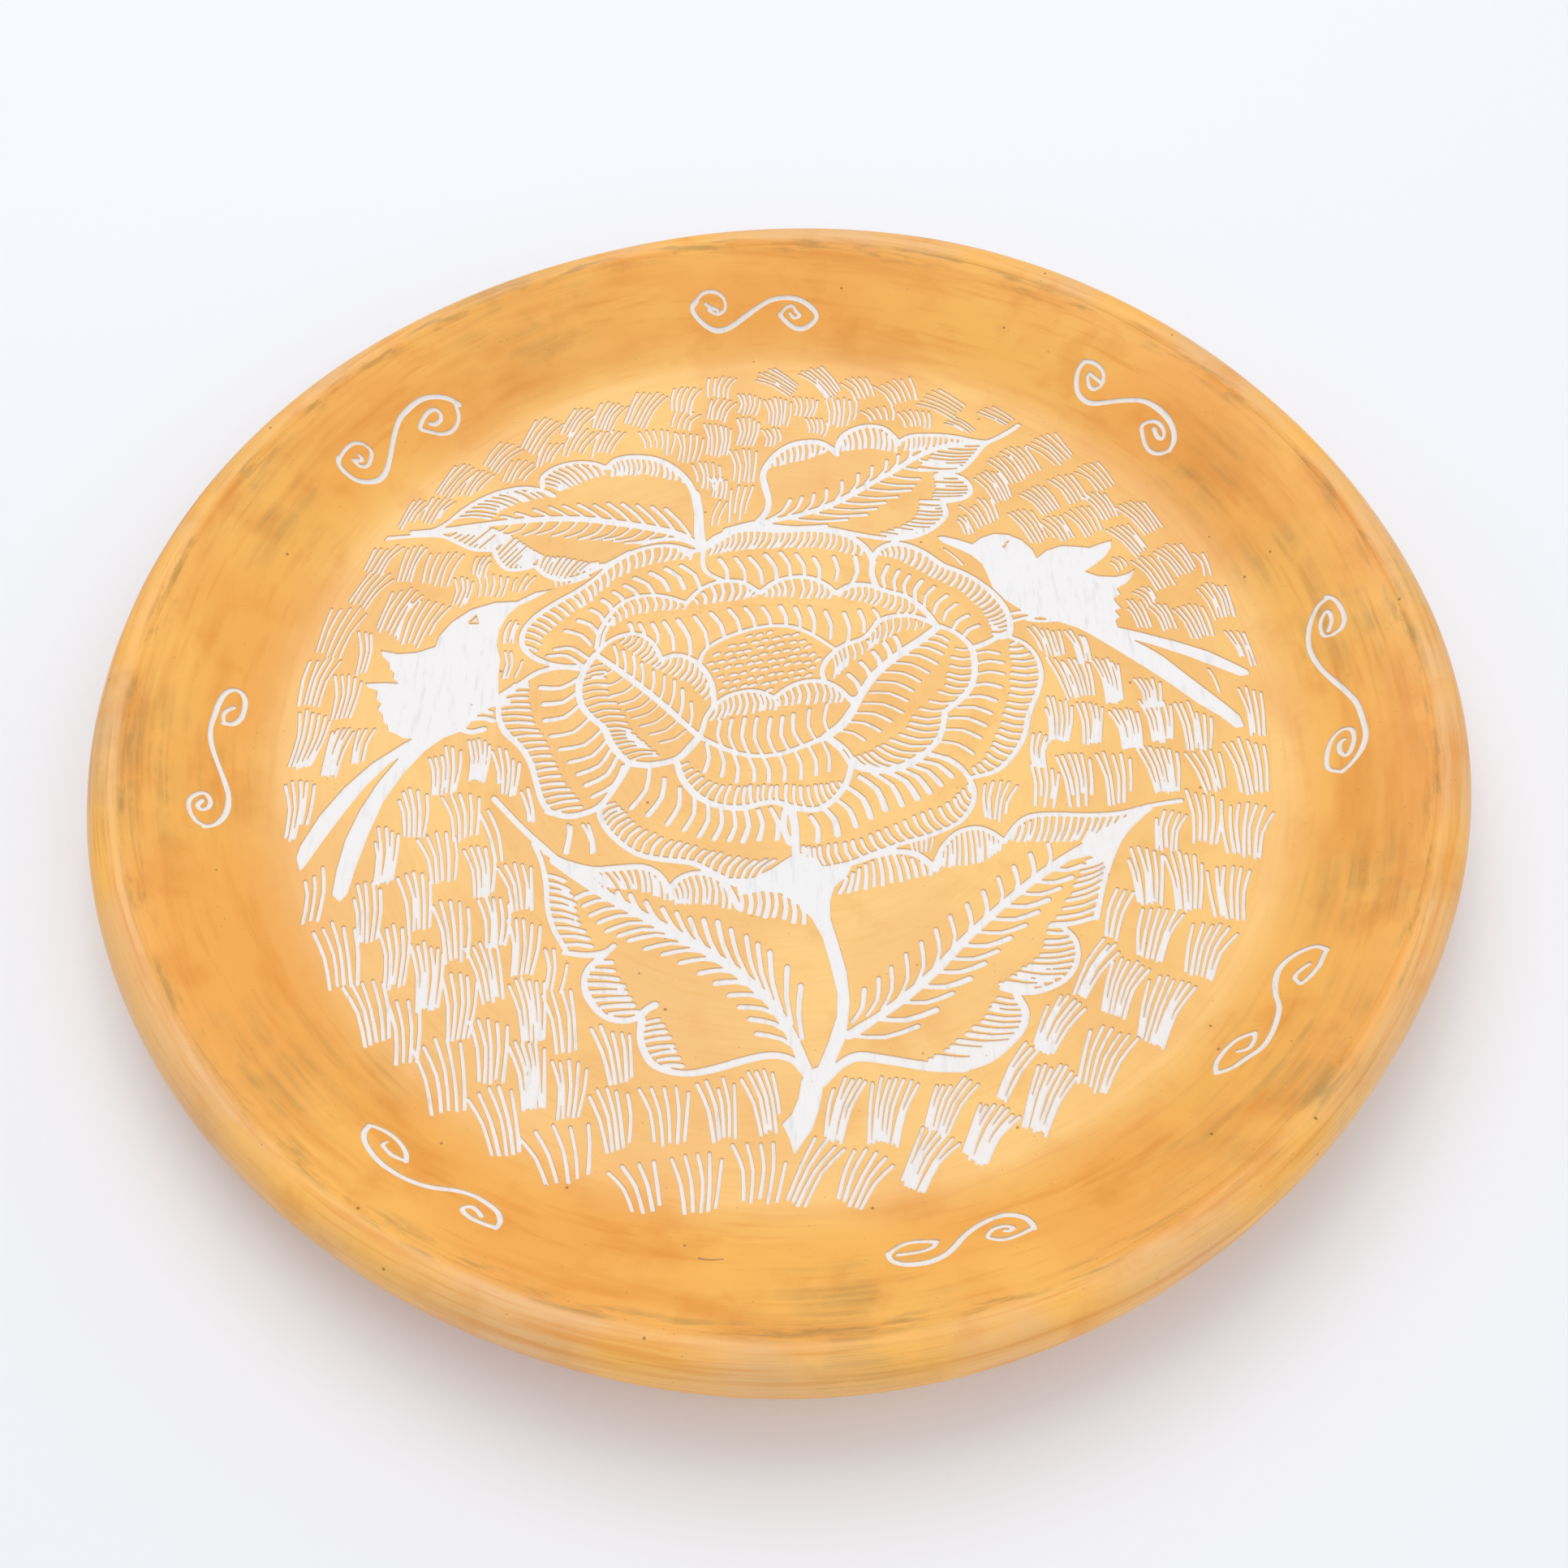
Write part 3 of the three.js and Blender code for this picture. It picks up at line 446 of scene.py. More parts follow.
# Back left leaf: lower edge, upper edge, midrib and barbs.
LEAF_BACK_LEFT = [
    line(1.3, (-91.5, 50.5), (-85, 51.2), (-78, 51.3), (-73.5, 49), (-70, 47.2), (-65.5, 47)),
    line(1.3, (-65.5, 47), (-64.5, 44.3), (-62, 41.4), (-58.5, 41.4), (-55.8, 42.3)),
    line(1.3, (-55.8, 42.3), (-53, 39.6), (-49.5, 38.2), (-46, 39), (-42, 41.2), (-38, 43.8),
         (-34.5, 46.3)),
    comb(9, [(-76, 50.8), (-71, 48), (-66, 47.3)], [(-71, 54.3), (-66.5, 53.4), (-62.3, 51.2)], 1.2, 0),
    comb(9, [(-65, 46), (-62, 42.2), (-57.5, 41.9)], [(-62, 50.6), (-58, 47.8), (-55, 45.6)], 1.2, 0),
    comb(12, [(-55, 41.8), (-50, 38.8), (-43, 41.3)],
         [(-54.3, 45.2), (-47.5, 44), (-40.3, 42.8)], 1.1, 0.04),
    line(1.4, (-85, 52.4), (-80.5, 52.8), (-77, 55.3), (-74, 58.8), (-70, 62.4), (-65, 65), (-60, 66),
         (-55.5, 65), (-53, 63.4)),
    comb(12, [(-76, 56.5), (-71, 61.3), (-65, 64.6), (-57.5, 65.4)],
         [(-67.3, 56.3), (-64.3, 60), (-59.5, 62), (-54, 63.4)], 1.1, 0.08),
    line(1.4, (-55.8, 66.3), (-56, 69.5), (-53, 72.5), (-48.5, 74), (-44, 73.6), (-40.8, 72)),
    comb(10, [(-55.6, 67), (-54.7, 71), (-50, 73.3), (-43, 73)],
         [(-51.5, 65.2), (-48.8, 66.7), (-45.8, 68.5), (-41.5, 70.2)], 1.1, 0.08),
    line(1.7, (-41, 72.5), (-38.8, 75), (-34.5, 75.8), (-29.5, 75), (-25, 72), (-21.5, 67.5),
         (-19.8, 63)),
    line(2.6, (-19.8, 64), (-18.9, 58), (-18.6, 52), (-17.8, 47.5)),
    comb(14, [(-40.3, 73.5), (-35.5, 75.4), (-29.5, 74.6), (-23.5, 70.3)],
         [(-39.6, 69.8), (-35, 70), (-29.5, 70), (-22.8, 67.6)], 1.1, 0.08),
    line(2, (-17.8, 47.3), (-23, 51.4), (-29, 53.4), (-37, 55), (-45, 56.2), (-53, 56.4), (-61, 55.7),
         (-69, 54.6), (-77, 53), (-84, 52.2)),
    line(1.5, (-18.5, 48), (-23, 50), (-28, 50), (-31.5, 48.8)),
    comb(12, [(-20.5, 50.8), (-33, 54.5), (-46, 56.4), (-61, 56)],
         [(-26.6, 59.5), (-39, 60.8), (-51.5, 60.2), (-65, 57.4)], 1.1, -0.04),
    comb(12, [(-25, 52), (-36, 54.5), (-48, 56), (-62, 55.3)],
         [(-33, 48.9), (-42.5, 49.9), (-53.5, 51.3), (-66, 51.8)], 1.0, 0.14),
]

# Back right leaf: lower edge, upper edge, midrib and barbs.
LEAF_BACK_RIGHT = [
    line(1.6, (-12, 52.5), (-5, 53.6), (3, 53.2), (11, 53.1), (17, 51.6), (24, 50.2), (30, 50.5),
         (35, 53), (38.6, 57.3), (38, 61)),
    comb(11, [(30, 51), (35, 53.5), (38, 57.5), (38, 60.8)],
         [(23.6, 51.7), (29, 54.3), (32.3, 57.5), (33, 61.4)], 1.1, 0.04),
    line(1.4, (33, 61.4), (39, 61.4), (43.5, 62.7), (45, 65.5), (43.5, 68.3), (41.5, 69.6)),
    comb(7, [(43, 62.8), (44.6, 65.6), (42, 69.3)], [(36, 62.8), (36.9, 65.8), (36.6, 69.3)], 1.1, 0.02),
    line(1.4, (37, 69.7), (42.5, 71), (46, 75), (49, 79.3), (53, 82), (57, 85)),
    comb(9, [(43, 71.4), (46, 75.3), (49.5, 79.7)], [(33, 71.9), (36.5, 76), (41, 80.3)], 1.1, 0.05),
    line(2.6, (-17.6, 47.6), (-14.5, 50), (-11, 52.6), (-6.5, 54.2)),
    line(1.8, (-6, 54.3), (-3.3, 58), (-2.6, 62), (-3.4, 66), (-4, 70), (-2.5, 74), (0, 77.5), (4, 80),
         (9, 80.4), (12, 78.6), (13.7, 76.4)),
    comb(11, [(-2.7, 74), (1.5, 78.5), (6.5, 80.3), (11.5, 79)],
         [(-2.3, 72.3), (1.7, 73.7), (6.5, 75), (10.5, 76.8)], 1.1, 0.06),
    line(1.6, (13.5, 76.7), (14.5, 81), (17, 84), (21, 85.6), (25, 85), (27.5, 82), (28.6, 79.6)),
    comb(10, [(15, 81), (18.5, 84.5), (23.5, 85), (27.5, 81.5)],
         [(15, 77.8), (19, 78.2), (23.5, 78.5), (27.7, 77.3)], 1.2, 0.06),
    line(1.4, (28.5, 80.3), (31.5, 82.3), (37, 82.6), (42, 82), (46, 80.9), (50, 80.2)),
    comb(12, [(30.5, 81.7), (35, 82.4), (40, 82.2), (45, 80.9)],
         [(30, 77.8), (34, 77.6), (39, 78.3), (43.5, 79)], 1.1, 0.05),
    line(1.4, (45, 80.3), (50, 80.5), (54, 82.5), (58.5, 86.5)),
    line(1.8, (-12.5, 52.8), (-7, 54.5), (-1, 55.8), (5, 57.5), (11, 60), (17, 63.8), (22, 67.5),
         (27, 71), (32, 75), (38, 78.5), (45, 80)),
    comb(10, [(-2.5, 56), (9.5, 60), (20, 67), (29.5, 73.5)],
         [(2.5, 62), (11.2, 65.4), (22.2, 72.5), (31.3, 77.3)], 1.1, -0.12),
    comb(11, [(-3.5, 54.6), (8, 57.8), (14.5, 61.2), (20.5, 65.3), (26, 69.5), (33, 74.5)],
         [(10.5, 54.1), (20, 57.3), (24.7, 61.3), (30.5, 64.7), (33, 68.5), (39, 73.5)], 1.2, -0.05),
]

# Left bird from the beak over the back, wing and two tail feathers, and round to the breast.
BIRD_LEFT = [
    patch((-51, 35.6), (-55, 34.8), (-59, 32.2), (-64, 31.9), (-69, 30), (-73, 26.5), (-75.5, 22.5),
          (-76, 19.6), (-80, 18), (-84, 17.7), (-87.9, 18.6), (-87.3, 16.8), (-85.6, 15.2), (-85.4, 13.6),
          (-84.2, 12.4), (-84.3, 11), (-83, 9.7), (-86, 9.9), (-90.1, 9.7), (-89.4, 8.4), (-87.2, 7.6),
          (-87.3, 5.6), (-86.1, 4.4), (-86.6, 2.7), (-85.4, 1.6), (-85, -0.4), (-83.9, -1.4), (-83.6, -3),
          (-82, -3.6), (-80, -4.9), (-78.4, -4.9), (-80, -6), (-86, -11), (-91, -17), (-95.2, -24),
          (-98, -31), (-98.8, -36.8), (-97.8, -37.9), (-96.2, -36), (-93.4, -30), (-90, -23.3),
          (-86.5, -17), (-82.4, -11.5), (-80.6, -9.8), (-84, -15.5), (-87, -22.5), (-89, -29.5),
          (-89.8, -36.5), (-89.9, -42.3), (-88, -44.1), (-86.7, -42.3), (-85.8, -36), (-84.3, -28.5),
          (-82.2, -20.5), (-79, -13.8), (-75, -8), (-71.5, -4.8), (-67.3, -2.9), (-66, -0.6), (-64.5, 2),
          (-61.3, 4), (-60.8, 6.3), (-61.3, 12), (-61.2, 16), (-62.4, 20), (-62.2, 24), (-60.6, 28.2),
          (-58.6, 30.6), (-55, 32.8)),
    line(1.5, (-69, -2), (-66, -3.2), (-63.2, -2.5)),
    line(1.4, (-68, -0.5), (-64, 0.4), (-61.4, -0.3)),
    line(1.4, (-66, 1), (-64, 2.2), (-62, 1.7)),
    line(1.8, (-65, 2), (-61.5, 5.2), (-58.3, 7.8)),
    line(1.2, (-63.5, 3), (-60.5, 4.3), (-58.5, 4.6)),
]

# Right bird from the beak over the crown, two wing tips, tail and breast.
BIRD_RIGHT = [
    patch((35.9, 50.7), (37.5, 51), (41, 50), (44.2, 48.6), (46.2, 50.4), (49.3, 51.7), (52.6, 51.4),
          (55.6, 49.8), (57.9, 46.9), (58.7, 44.4), (61, 46.6), (64.5, 48), (68, 47.8), (71, 47.4),
          (73, 48.4), (76.3, 49.6), (76.2, 47.6), (74.3, 44.6), (72.2, 42.5), (69.4, 40.3), (72, 39.1),
          (76, 38.8), (78.6, 39.6), (80.7, 41), (79.6, 38.3), (78, 36.5), (76, 35.2), (76.7, 33.6),
          (75, 32.4), (75.6, 31), (76.5, 29.6), (74.9, 28.9), (75.9, 27.2), (74.7, 26.2), (75, 24.4),
          (80, 22.9), (87, 20.6), (94, 17.8), (99, 14.6), (102, 12.6), (102.3, 11.2), (100, 10.7),
          (96, 12.8), (89, 16.3), (82, 19.3), (78.3, 20.6), (80.5, 19.2), (84, 16.4), (88, 12), (92, 7.7),
          (96, 3.4), (98.4, 0.5), (99, -2.6), (97, -2.9), (94, 0.3), (90, 3.4), (85, 8.3), (80, 12.8),
          (74, 17.8), (69, 21.9), (66, 24), (62, 25.7), (58, 27.2), (54, 29), (50.5, 32), (48, 35.3),
          (47, 39.3), (46, 42.4), (43.8, 45), (41, 46.8), (37.5, 48.7)),
    line(1.2, (52, 28.3), (54.3, 28.6), (57, 28)),
    line(1.2, (52, 26.2), (54.3, 27), (57.5, 27.6)),
    line(1.2, (55, 26.6), (58, 26.1), (61.5, 26.4)),
]

# The eight scrolls on the wall, each from the first curl to the last.
SCROLLS = {
    "scroll_back": [
        line(0.9, (-18.3, 118.5), (-16.8, 117.9), (-15.2, 117.5)),
        line(0.9, (-17.6, 117.4), (-15.6, 116.7), (-13.9, 117.3), (-13.3, 118.6), (-14, 120.2),
             (-16.2, 121.1), (-18.7, 120.7), (-20.4, 119.2)),
        line(1.2, (-20.4, 119), (-21.6, 117.4), (-20.2, 115.5), (-17.8, 114), (-15.3, 113.4),
             (-12.3, 114.2),
             (-8.5, 116.5), (-5, 118.6), (-2, 120), (1.5, 120.5), (5, 120.1), (8, 118.5), (9.3, 116.9),
             (8.6, 115.6), (6.5, 114.4), (4, 114.4), (1.6, 115.8), (0.2, 117.2)),
        line(0.9, (0.3, 117.1), (1.5, 118.4), (3.2, 118.9), (4.2, 117.8), (5.2, 116.9), (3.6, 116.5),
             (2.6, 117.5)),
    ],
    "scroll_back_right": [
        line(0.9, (74, 94), (74.3, 91.8), (75.5, 90.6), (77.2, 91.2), (76, 92.7), (74.5, 94.4)),
        line(1, (77.4, 91.4), (77.6, 93.5), (76.5, 95.5), (74.8, 96.8), (73.3, 97.3)),
        line(1.2, (73.3, 97.2), (72, 95.8), (71.5, 93.5), (71.8, 91), (73.3, 88.8), (75.5, 87.5),
             (79, 86.8),
             (82.5, 86), (86, 84.7), (88.8, 82.3), (91, 79.3), (92.2, 76.3), (92.3, 73.5), (91.3, 71.7)),
        line(1, (91.3, 71.8), (89.5, 71.7), (87.5, 72.8), (86.2, 75), (85.7, 77.5), (85.7, 79.3),
             (87.5, 79.6), (89.2, 78.7), (90.3, 76.5), (90, 74.9), (88.9, 75.7), (88.2, 77.8)),
    ],
    "scroll_right": [
        line(0.9, (118, 17), (118.8, 19), (118.8, 20.8), (118.2, 21.8), (117, 20), (116.7, 18),
             (117.2, 16.1), (118.6, 15.7)),
        line(1, (118.6, 15.8), (120.3, 16.6), (121.1, 18.8), (120.8, 21.5), (119.9, 24), (118.6, 25.2)),
        line(1.1, (118.8, 24.8), (116.8, 23.5), (115.2, 20.5), (114.4, 17.5), (114.2, 14.5), (114.7, 11.5),
             (115.8, 8), (117.3, 4.7), (119, 1), (120.2, -2.5), (120.5, -6.5), (120.4, -10.5),
             (119.2, -13.7), (117.2, -16.2), (115.1, -17.8)),
        line(1, (115, -17.8), (113.2, -16.3), (113, -14.3), (113.8, -11.3), (115, -9), (116.8, -7.7),
             (118.3, -8.3), (118.4, -10.5), (117.5, -13), (116.4, -14.2), (115.6, -12.8), (115.9, -10.8),
             (116.8, -10.2)),
    ],
    "scroll_front_right": [
        line(0.9, (100.3, -61.9), (98.8, -62.7), (97.3, -64.2), (97.8, -66.2)),
        line(1, (97.8, -66.2), (99.5, -65), (101.5, -63), (102.7, -61), (103.6, -59.6)),
        line(1.1, (103.7, -59.5), (102.4, -58.2), (100.3, -58.3), (97.8, -59.3), (95.5, -61.3), (94.2, -64),
             (93.5, -67), (93.3, -70.3), (92.2, -73.3), (90.5, -76.5), (88.3, -79.2), (85.3, -81),
             (82.5, -82.6), (79.9, -83.1)),
        line(1, (79.9, -83), (80.3, -81), (81.7, -79), (83.5, -77.2), (85.5, -75.9), (88.2, -75.3)),
        line(0.9, (88.1, -75.4), (87.6, -77), (86.3, -78.7), (84.4, -79)),
    ],
    "scroll_front": [
        line(0.9, (19.9, -116.8), (22, -116.6), (24.3, -116.2), (26, -115.4), (26.8, -114.4)),
        line(1, (26.8, -114.4), (25, -114.2), (22, -114.3), (19.8, -115.3), (18.3, -116.6)),
        line(1.2, (18.2, -116.5), (18.8, -118), (21, -118.9), (24.5, -118.7), (27.5, -117.5),
             (29.5, -115.8),
             (31.5, -113.5), (34, -111.5), (37, -110), (39.5, -109.5), (42, -110.3), (43.2, -111.8),
             (43.4, -112.9)),
        line(0.9, (43.2, -112.8), (40.5, -114.1), (38, -114.8), (36, -114.4), (35.4, -113.8),
             (36.5, -112.5), (38.5, -111.9), (40, -112.4), (39.3, -113), (38.4, -112.9)),
    ],
    "scroll_front_left": [
        line(0.9, (-70.2, -96.6), (-70.8, -97.3), (-69.9, -98.4), (-68.6, -99.5), (-66.2, -100.4)),
        line(1, (-66.2, -100.5), (-66.7, -98.5), (-68.3, -96.3), (-70.3, -94.7), (-72.5, -93.7),
             (-74, -93.4)),
        line(1.1, (-73.8, -93.5), (-74.3, -95), (-73.7, -97.2), (-71.8, -99.8), (-69.5, -101.9),
             (-66.5, -103.7), (-63.5, -104.9), (-60.5, -105.5), (-57, -105.6), (-54, -106.3),
             (-51.3, -107.8), (-49.3, -109.5), (-48.6, -111.3), (-49, -112.9)),
        line(1, (-49, -112.8), (-50.8, -112.3), (-53, -111.4), (-54.7, -110.2), (-55.2, -109.2),
             (-53.8, -108.8), (-52.5, -109.7), (-51.8, -110.6)),
    ],
    "scroll_left": [
        line(0.9, (-115.2, -0.3), (-116.3, -1.7), (-116.6, -3.2), (-116.2, -4.8)),
        line(1.1, (-116.4, -4.9), (-114.8, -4.4), (-113.7, -2.5), (-113.4, 0), (-113.6, 2.3), (-114.5, 3.8),
             (-115.8, 3.9), (-117, 2.6), (-117.7, 0), (-118, -3), (-118.2, -6.5), (-117.8, -9.5),
             (-116.7, -12.7), (-115, -16.3), (-113.6, -19.3), (-112.6, -22), (-112.2, -25), (-112.5, -27.7),
             (-113.5, -29.9), (-115, -31.1)),
        line(1, (-115, -30.8), (-116.5, -30.2), (-117.9, -28.3), (-118.5, -25.8), (-117.8, -24),
             (-116.4, -23), (-115.2, -24.5), (-115.3, -26.3), (-116.4, -27.2), (-117, -26.2),
             (-116.5, -24.9)),
    ],
    "scroll_back_left": [
        line(0.9, (-97.5, 68.7), (-96.7, 67.9), (-98.5, 67)),
        line(0.9, (-98.6, 67.1), (-97.2, 66.3), (-95.8, 66.9), (-95.1, 68.5), (-95, 70.5), (-96.8, 71.4),
             (-98.8, 70.7), (-100.3, 68.8), (-101.3, 66.6)),
        line(1.2, (-101.5, 66.4), (-101.4, 65), (-100.2, 63.8), (-97.8, 62.9), (-95, 63.6), (-92.8, 65.3),
             (-91.6, 68), (-90.9, 72), (-90.3, 76), (-89.3, 79.7), (-87.3, 82.8), (-84.8, 85.5), (-82, 87),
             (-79, 87.6), (-76.5, 87.1)),
        line(1, (-77.3, 86.8), (-76.6, 85), (-76.9, 82.8), (-78.3, 80.7), (-80.5, 79.5), (-83, 79.2),
             (-84.9, 79.2), (-84.5, 81), (-83.5, 83), (-82, 84.3), (-80.7, 84), (-80.5, 82.7),
             (-81.6, 81.3), (-82.9, 80.9)),
    ],
}

MOTIFS = {
    "flower_inner_petals": INNER_PETALS,
    "flower_outer_petals": OUTER_PETALS,
    "flower_seed_head": SEED_BORDER,
    "stem": STEM,
    "leaf_front_left": LEAF_FRONT_LEFT,
    "leaf_front_right": LEAF_FRONT_RIGHT,
    "leaf_back_left": LEAF_BACK_LEFT,
    "leaf_back_right": LEAF_BACK_RIGHT,
    "bird_left": BIRD_LEFT,
    "bird_right": BIRD_RIGHT,
}
# The motifs that are scraped clean all over.
CLEAN_MOTIFS = ("stem", "bird_left", "bird_right")
# The eyes are left standing in the coat: an open ring on one bird, two short marks on the other.
ISLAND = "left_standing"
BIRD_EYES = (
    (0.4, ((-69, 26.1), (-68.1, 25.1), (-67.2, 26), (-67, 27.2), (-67.7, 28.2), (-68.7, 27.5),
           (-69.1, 26.4))),
    (0.38, ((51.3, 47.7), (51.8, 48.3))),
    (0.34, ((52.2, 49), (52.5, 49.4))),
)
GRASS = "grass_cuts"
GRASS_OUTER = "grass_cuts_outer"
# A short dark line on the front wall: a shallow cut whose floor is dark clay.
SCRATCH = "dark_scratch"
SCRATCH_LINE = ((-14.3, -117.1), (-12.6, -117.4), (-10.2, -117.2))
SCRATCH_WIDTHS = (0.45, 0.3)

# The part of the flower's centre that the seeds fill.
SEED_AREA = (
    (-13.6, 5.6), (-10, 8), (-6.5, 8.6), (-3.2, 8), (-1.2, 6.8), (1, 8.8), (4.5, 11), (8, 11.4), (8, 14),
    (9.6, 17), (7.5, 20), (3, 22.8), (-2, 23.3), (-7, 22.2), (-12, 19.7), (-15, 17.2), (-16, 14.5),
    (-14.3, 11),
)

